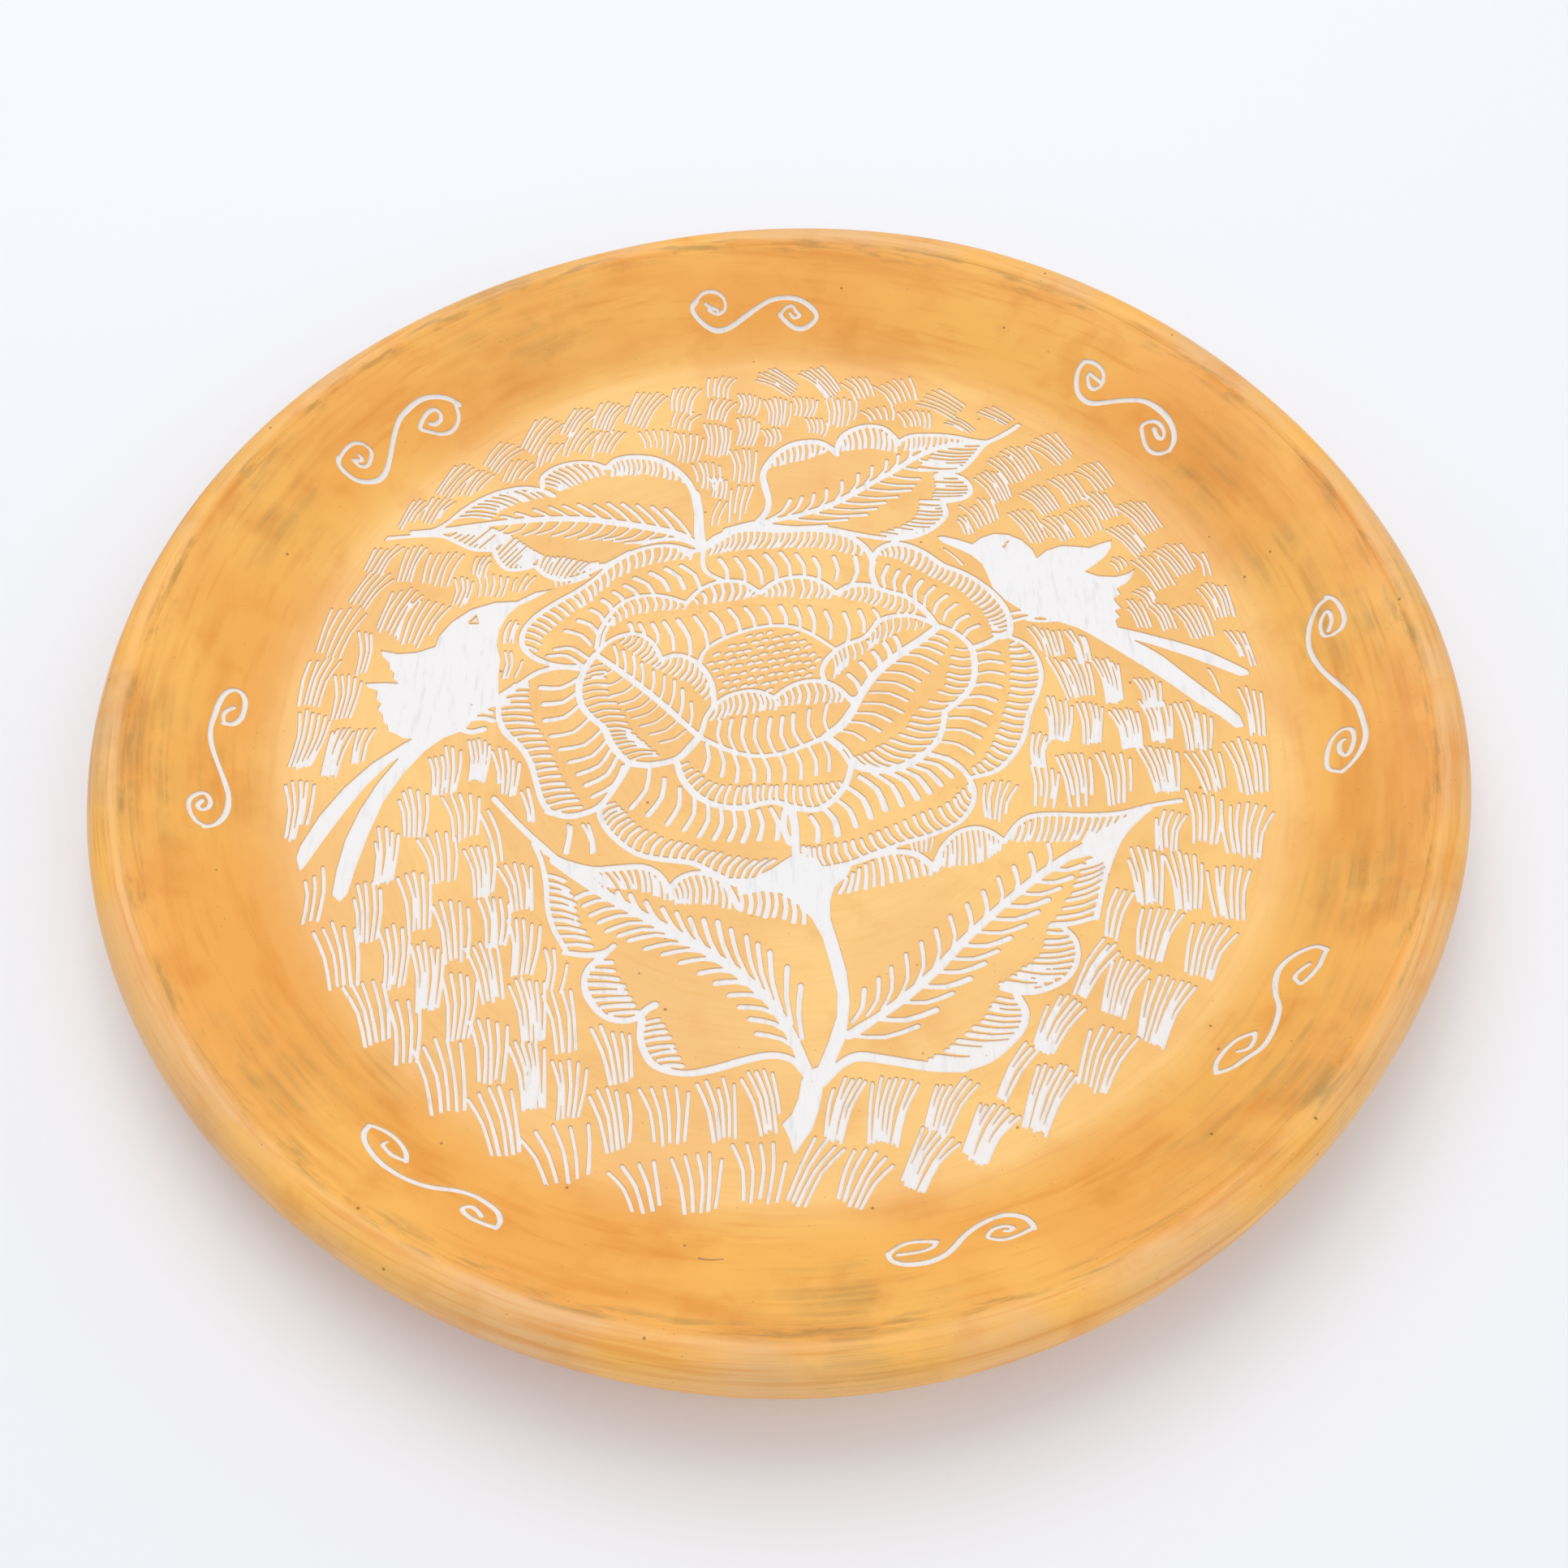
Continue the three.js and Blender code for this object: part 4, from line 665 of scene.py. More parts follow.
# Tufts of grass: where the shared root is, where the middle of the free ends is, how wide the free
# ends spread and how many cuts there are.
TUFTS = (
    (-38.5, -101.5, -42, -91.5, 12.5, 5), (-24, -107, -27.5, -98.5, 8.5, 4),
    (-14.5, -107, -15.5, -96.5, 9, 5), (-4, -105, -4, -94.5, 10, 5), (2, -105, 8, -94, 7.5, 5),
    (12, -106, 17, -96.5, 7.5, 5), (23.5, -102.5, 29.5, -92.5, 7, 6), (-99, -29.5, -99.5, -16, 7.5, 6),
    (-92.5, -48.5, -93.5, -36.5, 6.5, 4), (-80, -39.5, -81, -27.5, 5.5, 5),
    (-75, -29, -77, -18, 6.5, 5), (-81.5, -53, -83.5, -40, 6, 5), (-84.5, -62.5, -88.5, -49.5, 8, 5),
    (-76.5, -74.5, -81, -62, 7.5, 5), (-70.5, -78.5, -73, -65.5, 6, 4),
    (-61.5, -88, -65.5, -74.5, 9, 5), (-75, -62.5, -76.5, -50, 6, 5), (-71.5, -50.5, -74, -38, 6.5, 5),
    (-68, -39.5, -70.5, -28.5, 7.5, 5), (-64.5, -29.5, -66.5, -19, 7.5, 5),
    (-63.5, -57, -66, -44.5, 7, 5), (-68, -67.5, -69.5, -54, 6.5, 6),
    (-61.5, -73.5, -62.5, -60, 6.5, 5), (-59.5, -42.5, -61.5, -32, 6, 5),
    (-55.5, -34, -58.5, -22.5, 7.5, 5), (-51.5, -46, -54, -35.5, 6.5, 5),
    (-56, -54, -57.5, -43.5, 6, 5), (-55.5, -65.5, -59, -54, 6, 5), (-50.5, -60, -51, -48.5, 6.5, 5),
    (-44, -63.5, -44, -55, 4.5, 4), (-47, -74, -49.5, -61.5, 6.5, 6),
    (-40, -76.5, -42.5, -63.5, 7.5, 5), (-54.5, -82, -56, -70, 7, 5),
    (-46, -87.5, -48.5, -74.5, 6.5, 6), (-50, -96.5, -54.5, -84, 8, 5),
    (-29.5, -82, -32, -70.5, 8.5, 6), (-39.5, -89.5, -40, -78.5, 6.5, 5), (-30, -95, -32.5, -84, 7, 5),
    (-20.5, -94, -22, -83.5, 9, 5), (-10.5, -93.5, -12.5, -82, 6.5, 5), (-1.5, -92, -4, -80.5, 7.5, 6),
    (-50.5, -28.5, -52.5, -18, 5.5, 5), (-44, -33.5, -44, -25, 4, 5),
    (-36.5, -35.5, -37.5, -26, 6.5, 6), (44, -25.5, 46, -16.5, 6.5, 5),
    (54.5, -22.5, 55.5, -12.5, 6, 5), (86, -31, 87, -19.5, 9, 6), (94, -34, 96.5, -22.5, 10.5, 7),
    (78, -32.5, 80, -23.5, 7.5, 6), (73.5, -45, 73.5, -32.5, 7.5, 6), (81, -46.5, 81.5, -34, 7.5, 6),
    (89, -48, 90.5, -37, 8.5, 6), (64, -52, 67.5, -41.5, 6.5, 5), (72, -57, 76, -46.5, 8, 6),
    (81, -61, 86, -50, 8.5, 6), (56.5, -64.5, 63, -53.5, 7.5, 7), (63.5, -69, 68.5, -58, 7, 6),
    (70, -74.5, 76, -62, 8.5, 7), (49.5, -76, 55.5, -66, 6.5, 6), (58, -84, 63.5, -72.5, 8.5, 6),
    (40, -85, 45.5, -75, 6.5, 6), (46.5, -92, 52, -80, 7.5, 7), (28.5, -92, 33.5, -81.5, 7, 6),
    (18.5, -94.5, 21.5, -82, 8.5, 7), (9, -93.5, 12.5, -82, 6.5, 6), (35, -97.5, 40.5, -88, 7.5, 7),
    (-101, -12, -99.5, 1.5, 7, 6), (-94.5, -14, -93, -2.5, 4.5, 5), (-88, -11, -86.5, -2.5, 6.5, 5),
    (-70, -18.5, -71.5, -7.5, 7.5, 6), (-63.5, -15.5, -64, -5.5, 4.5, 5), (-57, -19, -58, -8, 5.5, 5),
    (59, -6, 59.5, 4.5, 6.5, 6), (66, -6.5, 66.5, 3.5, 5.5, 5), (74.5, -8, 73.5, 2, 6, 6),
    (81, -6, 80.5, 4.5, 6.5, 6), (88.5, -8, 88.5, 3.5, 7.5, 6), (100.5, -4.5, 100, 7.5, 7.5, 6),
    (94.5, 6, 91.5, 14, 5.5, 4), (54, -12.5, 55, -4.5, 5, 5), (62, -22.5, 61.5, -9.5, 7, 6),
    (70, -21.5, 70, -9.5, 7, 5), (80.5, -19, 79.5, -8, 8, 7), (90.5, -18.5, 89, -9, 7, 5),
    (98.5, -19, 98, -6.5, 8.5, 6), (-99.5, 17, -96, 30, 8, 5), (-101.5, 3.5, -99.5, 16, 6.5, 5),
    (-90.5, 12, -90.5, 23, 5.5, 5), (-94, 0.5, -94, 11, 6, 5), (-92.5, 40.5, -89, 49, 6, 5),
    (-94.5, 31, -90, 40, 6, 5), (-85, 38, -83, 48, 4, 4), (-78, 36.5, -76, 46, 7.5, 5),
    (-68.5, 39, -67, 45, 4, 4), (-87.5, 23.5, -83.5, 35, 6.5, 5), (-81.5, 20, -78, 31.5, 9, 6),
    (-72, 31, -71.5, 38.5, 4, 4), (-65, 33.5, -65, 39.5, 7, 5), (-58.5, 34, -56.5, 39, 5.5, 4),
    (-59.5, 20, -58, 26.5, 4, 4), (-59, 10.5, -58.5, 17.5, 4, 4), (-87, 53.5, -83.5, 62, 4, 4),
    (-81.5, 55, -78.5, 62.5, 5.5, 5), (-79, 63.5, -74, 72.5, 5.5, 5), (-73, 63, -69, 70.5, 5.5, 5),
    (-68.5, 72, -64, 79.5, 6, 5), (-63.5, 67, -60.5, 74, 6.5, 5), (-60, 77.5, -55.5, 87.5, 6.5, 5),
    (-56, 72, -53.5, 80, 5.5, 5), (-51, 82.5, -47, 91, 5.5, 5), (-50, 75, -46.5, 84, 6, 5),
    (-43, 84.5, -40, 93, 6.5, 6), (-42.5, 74.5, -39.5, 83.5, 7, 6), (-35, 86, -31, 96.5, 7.5, 6),
    (-29, 76.5, -29.5, 84, 8.5, 6), (-24, 90.5, -22.5, 98.5, 6.5, 5), (-24, 84.5, -22, 90.5, 6, 4),
    (-15, 95.5, -14, 102, 6.5, 5), (-15.5, 87.5, -13.5, 94.5, 6, 5), (-8, 89.5, -7.5, 96, 5.5, 5),
    (-22, 74, -21.5, 83, 6.5, 5), (-15, 76, -15, 86, 6.5, 6), (-8.5, 79, -7.5, 88, 5.5, 5),
    (-0.5, 86, -0.5, 94.5, 6.5, 6), (-1, 78.5, -1, 84.5, 6.5, 6), (-8, 67.5, -8, 77.5, 8, 6),
    (-17, 65.5, -17.5, 73.5, 6.5, 5), (-14.5, 62.5, -14.5, 69, 4, 4), (-16.5, 51, -15, 61.5, 5.5, 4),
    (-9.5, 55, -8, 66, 6.5, 5), (3.5, 97.5, -4, 103.5, 6, 6), (13.5, 96, 7.5, 104.5, 6, 6),
    (21, 95, 18, 101.5, 6.5, 5), (30.5, 93.5, 27.5, 100.5, 9, 6), (43.5, 90, 36, 95.5, 7.5, 6),
    (6, 89, 6.5, 95, 6, 5), (14.5, 85.5, 15, 94.5, 7.5, 6), (8.5, 81.5, 9, 88, 5, 5),
    (25, 86.5, 23.5, 91.5, 7.5, 5), (33.5, 84, 32.5, 90.5, 7.5, 6), (46, 82.5, 40.5, 86.5, 5.5, 6),
    (57, 84, 49, 90, 6.5, 6), (68, 74, 62.5, 81, 8, 6), (60, 70, 55.5, 78, 6, 5),
    (56, 67.5, 52, 75, 6, 5), (52.5, 61.5, 48.5, 70, 6, 6), (48.5, 54.5, 45.5, 61.5, 7.5, 6),
    (43, 51, 40.5, 56, 5, 5), (63.5, 58, 59, 65, 6.5, 6), (70, 61.5, 66, 69, 6, 5),
    (77, 65.5, 72.5, 72.5, 6.5, 5), (77, 56, 73.5, 63.5, 5, 5), (72.5, 51.5, 69, 59, 6, 5),
    (66, 49.5, 62.5, 56, 5.5, 5), (59.5, 49, 55, 58, 6.5, 6), (86.5, 52, 81.5, 60.5, 6.5, 6),
    (82.5, 45.5, 77.5, 53, 6.5, 6), (92.5, 40, 88.5, 47.5, 7, 6), (87, 35.5, 83, 44, 6, 5),
    (78, 40.5, 76, 44, 3, 3), (83.5, 31, 81, 35, 4, 4), (81, 24, 78.5, 31.5, 4, 4),
    (86.5, 23.5, 84, 30.5, 4, 4), (93.5, 21.5, 91, 30, 6.5, 6), (99, 27, 97, 36, 6, 6),
    (97, 39, 95.5, 45.5, 2, 2), (102.5, 13.5, 100.5, 23, 4, 4), (60, 16.5, 58, 25, 6.5, 6),
    (67.5, 15, 66, 23.5, 6, 6), (62, 5, 58.5, 15.5, 5.5, 5), (66, 6, 64.5, 15, 5, 5),
    (72, 4, 71, 15, 5.5, 6), (80, 2.5, 79.5, 10, 5.5, 5), (43, 40, 38, 46.5, 5.5, 5),
)

# Seeds of the random hand that makes the cuts uneven.
GRASS_HAND = 11
SEED_HAND = 7
SCROLL_HAND = 50

# The grid that keeps grass off the motifs, where grass starts turning finer and how far it takes,
# and how close to the wall a cut has to come to be cut there too.
GROUND_CELL = 0.6
BACK_FROM = -10
BACK_REACH = 40
WALL_OVERLAP = 0.5

# Share of a tuft's spread at its foot, how far its cuts wander and bend, and their reach and width.
FOOT_SPREAD = (0.56, 0.66)
FOOT_WANDER = (-0.4, 0.7)
TIP_WANDER = (-0.15, 0.15)
TUFT_BEND = (0.25, 0.75)
REACH = (0.95, 1.04)
FOOT_WIDTH = (0.8, 1.0)
TIP_WIDTH = (0.74, 0.9)

# The cuts of a motif: the angles of the points on a round end, the steps along a cut and how
# uneven it is.
ROUND_END = (48, 90, 132)
PART_STEPS = 3
STROKE_STEPS = 4
EYE_STEPS = 3
LINE_UNEVEN = (0.9, 1.1)
COMB_UNEVEN = (0.88, 1.1)
COMB_WANDER = (-0.25, 0.25)
COMB_ROOT = 0.8

# The seeds stand in staggered rows that climb to the right.
SEED_ROWS, SEED_COLUMNS = 10, 13
SEED_START = (-17.5, 5.2)
SEED_STEP = (2.35, 1.95)
SEED_STAGGER = 1.2
SEED_CLIMB = 0.2
SEED_LEVEL = -4
# How far a seed wanders along and across its row, its slant and how far that swings, half its
# length, and its width at both ends.
SEED_ALONG = (-0.3, 0.3)
SEED_ACROSS = (-0.25, 0.25)
SEED_TURN = 24
SEED_SWING = (-12, 12)
SEED_HALF = (0.4, 0.6)
SEED_WIDTHS = (1.0, 1.1)


def smooth(points, steps):
    """Places along a smooth curve through the points, at even steps from point to point."""
    places = [Vector(p) for p in points]
    if len(places) == 2:
        return [places[0].lerp(places[1], i / steps) for i in range(steps + 1)]
    places = [2 * places[0] - places[1]] + places + [2 * places[-1] - places[-2]]
    curve = []
    for i in range(steps + 1):
        u = i * (len(points) - 1) / steps
        k = min(int(u), len(points) - 2)
        t = u - k
        a, b, c, d = places[k:k + 4]
        curve.append(0.5 * (2 * b + (c - a) * t + (2 * a - 5 * b + 4 * c - d) * t * t
                            + (3 * b - a - 3 * c + d) * t * t * t))
    return curve


def ribbon(path, start, end, round_start=True):
    """The outline of a cut along a path, round-ended, whose width runs from start to end."""
    left = []
    right = []
    last = len(path) - 1
    for i, place in enumerate(path):
        along = (path[min(i + 1, last)] - path[max(i - 1, 0)]).normalized()
        side = Vector((-along.y, along.x)) * (start + (end - start) * i / last) / 2
        left.append(place + side)
        right.append(place - side)
    outline = right + cap(path[-1], right[-1] - path[-1])
    outline += reversed(left)
    if round_start:
        outline += cap(path[0], left[0] - path[0])
    return outline


def cap(centre, arm):
    """The points of a round end between one side of a cut and the other."""
    turned_arms = []
    for degrees in ROUND_END:
        a = math.radians(degrees)
        turned_arms.append(Vector((arm.x * math.cos(a) - arm.y * math.sin(a),
                                   arm.x * math.sin(a) + arm.y * math.cos(a))))
    return [centre + turned_arm for turned_arm in turned_arms]


def line_outlines(width, points, hand):
    """A long cut as overlapping short outlines, so that a tight curl never crosses itself."""
    path = smooth(points, PART_STEPS * (len(points) - 1))
    widths = [width * hand.uniform(*LINE_UNEVEN) for _ in path]
    outlines = []
    for i in range(0, len(path) - 1, PART_STEPS):
        part = path[i:i + PART_STEPS + 1]
        outlines.append(ribbon(part, widths[i], widths[i + len(part) - 1]))
    return outlines


def comb_outlines(count, roots, tips, width, bow, hand):
    """The short cuts of a comb, each bowed to one side and a little uneven."""
    outlines = []
    for root, tip in zip(smooth(roots, count - 1), smooth(tips, count - 1)):
        tip = tip + Vector((hand.uniform(*COMB_WANDER), hand.uniform(*COMB_WANDER)))
        across = tip - root
        middle = (root + tip) / 2 + Vector((-across.y, across.x)) * bow
        wide = width * hand.uniform(*COMB_UNEVEN)
        path = smooth((root, middle, tip), STROKE_STEPS)
        outlines.append(ribbon(path, COMB_ROOT * wide, wide, round_start=False))
    return outlines


def outlines_of(items, seed):
    """Every closed outline of a motif."""
    hand = random.Random(seed)
    outlines = []
    for kind, *values in items:
        if kind == "line":
            outlines += line_outlines(*values, hand)
        elif kind == "comb":
            outlines += comb_outlines(*values, hand)
        else:
            outlines.append([Vector(p) for p in values[0]])
    return outlines


def inside(outline, x, y):
    """True where a place is within a closed outline."""
    odd = False
    for (ax, ay), (bx, by) in zip(outline, outline[1:] + outline[:1]):
        if (ay > y) != (by > y) and x < ax + (bx - ax) * (y - ay) / (by - ay):
            odd = not odd
    return odd


def seed_outlines():
    """The short slanting dashes that fill the seed head, in staggered rows."""
    hand = random.Random(SEED_HAND)
    outlines = []
    for row in range(SEED_ROWS):
        for column in range(SEED_COLUMNS):
            stagger = SEED_STAGGER if row % 2 else 0
            x = SEED_START[0] + SEED_STEP[0] * column + stagger + hand.uniform(*SEED_ALONG)
            climb = SEED_CLIMB * (x - SEED_LEVEL)
            y = SEED_START[1] + SEED_STEP[1] * row + climb + hand.uniform(*SEED_ACROSS)
            if inside(SEED_AREA, x, y):
                a = math.radians(SEED_TURN + hand.uniform(*SEED_SWING))
                half = Vector((math.cos(a), math.sin(a))) * hand.uniform(*SEED_HALF)
                centre = Vector((x, y))
                outlines.append(ribbon([centre - half, centre + half], *SEED_WIDTHS))
    return outlines


def cells_of_cuts(cuts):
    """The small square cells within a cell of the edge of any cut."""
    blocked = set()
    for _, outline in cuts:
        for a, b in zip(outline, outline[1:] + outline[:1]):
            steps = max(int((b - a).length / GROUND_CELL), 1)
            for i in range(steps):
                cx, cy = cell_of(a.lerp(b, i / steps))
                blocked.update((cx + dx, cy + dy) for dx in (-1, 0, 1) for dy in (-1, 0, 1))
    return blocked


def cell_of(place):
    return round(place.x / GROUND_CELL), round(place.y / GROUND_CELL)


@functools.cache
def grass_outlines():
    """The cuts of every tuft, finer towards the back, and each one stopped short of the motifs."""
    hand = random.Random(GRASS_HAND)
    blocked = cells_of_cuts(motif_cuts())
    outlines = []
    for x, y, tip_x, tip_y, spread, count in TUFTS:
        root = Vector((x, y))
        along = Vector((tip_x, tip_y)) - root
        height = along.length
        along /= height
        across = Vector((along.y, -along.x))
        side = 1 if along.x <= 0.12 else -1
        back = min(max((y - BACK_FROM) / BACK_REACH, 0.0), 1.0)
        for i in range(count):
            u = i / (count - 1) - 0.5
            foot = root + across * u * spread * (hand.uniform(*FOOT_SPREAD) + 0.12 * back)
            foot = foot + along * hand.uniform(*FOOT_WANDER)
            # The middle cuts reach furthest. Those on the side away from the lean are cut shorter.
            reach = height * (1.04 - 0.35 * u * u - 0.12 * side * u) * hand.uniform(*REACH)
            tip = root + along * reach + across * (u * spread + hand.uniform(*TIP_WANDER))
            middle = foot.lerp(tip, 0.55) + across * (side * hand.uniform(*TUFT_BEND) - 0.5 * u)
            path = smooth((foot, middle, tip), STROKE_STEPS)
            while path and cell_of(path[-1]) in blocked:
                path.pop()
            while path and cell_of(path[0]) in blocked:
                path.pop(0)
            if len(path) > 3 and not any(cell_of(p) in blocked for p in path):
                foot_width = hand.uniform(*FOOT_WIDTH) - 0.15 * back
                tip_width = hand.uniform(*TIP_WIDTH) - 0.1 * back
                outlines.append(ribbon(path, foot_width, tip_width))
    return outlines


def ring_point(radius, index, count):
    a = 2 * math.pi * index / count
    return Vector((radius * math.cos(a), radius * math.sin(a)))


def sector(inner, outer, index, sectors, radial_steps):
    """The outline of one sector of a ring; inner and outer give a radius and its points per turn."""
    (r0, n0), (r1, n1) = inner, outer
    first, last = index * n1 // sectors, (index + 1) * n1 // sectors
    outline = [ring_point(r1, i, n1) for i in range(first, last + 1)]
    if sectors == 1:
        return outline[:-1]
    between = [r0 + (r1 - r0) * k / radial_steps for k in range(1, radial_steps)]
    outline += [ring_point(r, index + 1, sectors) for r in reversed(between)]
    first, last = index * n0 // sectors, (index + 1) * n0 // sectors
    outline += [ring_point(r0, i, n0) for i in range(last, first - 1, -1)]
    outline += [ring_point(r, index, sectors) for r in between]
    return outline


def floor_tiles():
    """The floor's sectors, each with the loose points that carry the floor's unevenness."""
    tiles = []
    inner = (0.0, 1)
    for radius, sectors, count in FLOOR_RINGS:
        steps = max(round((radius - inner[0]) / GRID_STEP), 2)
        for index in range(sectors):
            loose = []
            for k in range(1, steps):
                r = inner[0] + (radius - inner[0]) * k / steps
                across = max(round(2 * math.pi * r / sectors / GRID_STEP), 2)
                loose += [ring_point(r, index * across + j, sectors * across) for j in range(1, across)]
            tiles.append((sector(inner, (radius, count), index, sectors, steps), loose))
        inner = (radius, count)
    return tiles


def wall_tiles():
    """The wall's sectors, with points close enough to follow its curve."""
    count = FLOOR_RINGS[-1][2]
    each = count // WALL_SECTORS
    tiles = []
    for index in range(WALL_SECTORS):
        loose = []
        for k in range(1, WALL_RINGS):
            r = FLOOR_RADIUS + (CREASE_RADIUS - FLOOR_RADIUS) * k / WALL_RINGS
            loose += [ring_point(r, index * each + j, count) for j in range(1, each)]
        outline = sector((FLOOR_RADIUS, count), (CREASE_RADIUS, count), index, WALL_SECTORS, WALL_RINGS)
        tiles.append((outline, loose))
    return tiles


def anticlockwise(outline):
    """The outline, turned round if it runs clockwise."""
    area = sum(a.x * b.y - b.x * a.y for a, b in zip(outline, outline[1:] + outline[:1]))
    return outline if area > 0 else outline[::-1]


def box_of(points):
    xs = [p.x for p in points]
    ys = [p.y for p in points]
    return min(xs), min(ys), max(xs), max(ys)


def apart(a, b):
    """True where two boxes don't touch."""
    return a[0] > b[2] or b[0] > a[2] or a[1] > b[3] or b[1] > a[3]


def cut_tiles(tiles, cuts):
    """Triangles of every tile: their corners, and for each the name of the cut it lies in, or None."""
    places = []
    found = {}
    triangles = []
    boxed = [(box_of(outline), name, anticlockwise(outline)) for name, outline in cuts]
    for tile, loose in tiles:
        here = box_of(tile)
        local = [(name, outline) for box, name, outline in boxed if not apart(box, here)]
        verts = list(loose)
        faces = []
        for outline in [anticlockwise(tile)] + [outline for _, outline in local]:
            faces.append(list(range(len(verts), len(verts) + len(outline))))
            verts += outline
        out_verts, _, out_faces, _, _, sources = delaunay_2d_cdt(verts, [], faces, 1, 1e-5, True)
        names = [corner_number(places, found, v) for v in out_verts]
        for face, source in zip(out_faces, sources):
            source = sorted(source)
            corners = [names[i] for i in face]
            if source and source[0] == 0 and len(set(corners)) == 3:
                cut = {local[i - 1][0] for i in source[1:]}
                triangles.append((corners, None if not cut or ISLAND in cut else local[source[1] - 1][0]))
    return places, triangles


def corner_number(places, found, v):
    """The number of a corner, the same for every tile that has it."""
    key = (round(v.x * CORNERS_PER_MM), round(v.y * CORNERS_PER_MM))
    for dx in (0, -1, 1):
        for dy in (0, -1, 1):
            if (key[0] + dx, key[1] + dy) in found:
                return found[key[0] + dx, key[1] + dy]
    found[key] = len(places)
    places.append(Vector(v))
    return found[key]


def edges_once(triangles):
    """The edges that only one triangle has, in that triangle's direction."""
    seen = {}
    for a, b, c in triangles:
        for edge in ((a, b), (b, c), (c, a)):
            if (edge[1], edge[0]) in seen:
                del seen[edge[1], edge[0]]
            else:
                seen[edge] = True
    return list(seen)


def slab(name, places, triangles, top, bottom, splay=0.0):
    """A closed sheet between two depths; splay pushes the lower edge outwards past the upper one."""
    used = sorted({i for t in triangles for i in t})
    number = {i: k for k, i in enumerate(used)}
    edges = edges_once(triangles)
    push = {}
    for a, b in edges:
        along = (places[b] - places[a]).normalized()
        for end in (a, b):
            push[end] = push.get(end, Vector((0, 0))) + Vector((along.y, -along.x))
    verts = [on_surface(*places[i], top) for i in used]
    for i in used:
        shift = push[i].normalized() * splay if i in push and splay else Vector((0, 0))
        verts.append(on_surface(*(places[i] + shift), bottom))
    count = len(used)
    faces = [[number[i] for i in t] for t in triangles]
    faces += [[number[i] + count for i in reversed(t)] for t in triangles]
    sides = [[number[a], number[a] + count, number[b] + count, number[b]] for a, b in edges]
    obj = new_piece(name, verts, faces + sides)
    slots = [0] * len(faces) + [1] * len(sides)
    obj.data.polygons.foreach_set("material_index", slots)
    return obj


@functools.cache
def motif_cuts():
    """Every cut of the flower, stem, leaves and birds, with its motif's name."""
    cuts = []
    for number, (name, items) in enumerate(MOTIFS.items()):
        cuts += [(name, outline) for outline in outlines_of(items, number)]
    cuts += [("flower_seed_head", outline) for outline in seed_outlines()]
    return cuts


@functools.cache
def floor_cuts():
    """The floor's corners and triangles, each with the name of its cut."""
    cuts = list(motif_cuts())
    cuts += [(GRASS, outline) for outline in grass_outlines()]
    for width, points in BIRD_EYES:
        cuts.append((ISLAND, ribbon(smooth(points, EYE_STEPS), width, width)))
    return cut_tiles(floor_tiles(), cuts)


@functools.cache
def wall_cuts():
    """The wall's corners and triangles, each with the name of its cut."""
    cuts = []
    for number, (name, items) in enumerate(SCROLLS.items()):
        for outline in outlines_of(items, SCROLL_HAND + number):
            cuts.append((name, [Vector(before_waves(*p)) for p in outline]))
    for outline in grass_outlines():
        if any(p.length > FLOOR_RADIUS - WALL_OVERLAP for p in outline):
            cuts.append((GRASS_OUTER, [Vector(before_waves(*p)) for p in outline]))
    cuts.append((SCRATCH, ribbon(smooth(SCRATCH_LINE, STROKE_STEPS), *SCRATCH_WIDTHS)))
    return cut_tiles(wall_tiles(), cuts)


# ---------------------------------------------------------------- turned pieces

CRISP_ANGLE = 38
AXIS_RADIUS = 1e-6


def new_piece(name, verts, faces):
    """A piece with smooth faces and crisp edges."""
    mesh = bpy.data.meshes.new(name)
    mesh.from_pydata(verts, [], faces)
    mesh.validate()
    mesh.shade_smooth()
    mesh.set_sharp_from_angle(angle=math.radians(CRISP_ANGLE))
    obj = bpy.data.objects.new(name, mesh)
    bpy.context.scene.collection.objects.link(obj)
    return obj


def offset(points, depth):
    """A section line moved into the clay, which lies on its right-hand side."""
    moved = []
    for i, (r, z) in enumerate(points):
        r0, z0 = points[max(i - 1, 0)]
        r1, z1 = points[min(i + 1, len(points) - 1)]
        length = math.hypot(r1 - r0, z1 - z0)
        moved.append((r + depth * (z1 - z0) / length, z - depth * (r1 - r0) / length))
    return moved


def turned(name, section, steps, marks=0.0, closed=True):
    """A section turned about the axis; an open one starts and ends on the axis."""
    verts = []
    faces = []
    rings = []
    for r, z in section:
        if r < AXIS_RADIUS:
            rings.append([len(verts)] * steps)
            verts.append(Vector((0, 0, z)) * MM)
            continue
        rings.append(list(range(len(verts), len(verts) + steps)))
        for i in range(steps):
            a = 2 * math.pi * i / steps
            far = r + wave(a) * ease(r)
            x, y = far * math.cos(a), far * math.sin(a)
            lift = marks * hand_marks(x, y, z)
            stretch = 1 + lift * ease(r) / far
            verts.append(Vector((x * stretch, y * stretch, z + lift * (1 - ease(r)))) * MM)
    following = rings[1:] + rings[:1] if closed else rings[1:]
    for low, high in zip(rings, following):
        for i in range(steps):
            j = (i + 1) % steps
            corners = [low[i], high[i], high[j], low[j]]
            face = [c for k, c in enumerate(corners) if c != corners[k - 1]]
            if len(set(face)) > 2:
                faces.append(face)
    return new_piece(name, verts, faces)


def coat(name, points, outer, inner, steps, marks=0.0):
    """A thin skin between two depths under a section line."""
    return turned(name, offset(points, outer) + offset(points, inner)[::-1], steps, marks)


# ---------------------------------------------------------------- finishes

def srgb(value):
    """A colour picked on screen, as the light it stands for."""
    return tuple(c / 12.92 if c <= 0.04045 else ((c + 0.055) / 1.055) ** 2.4 for c in value) + (1.0,)


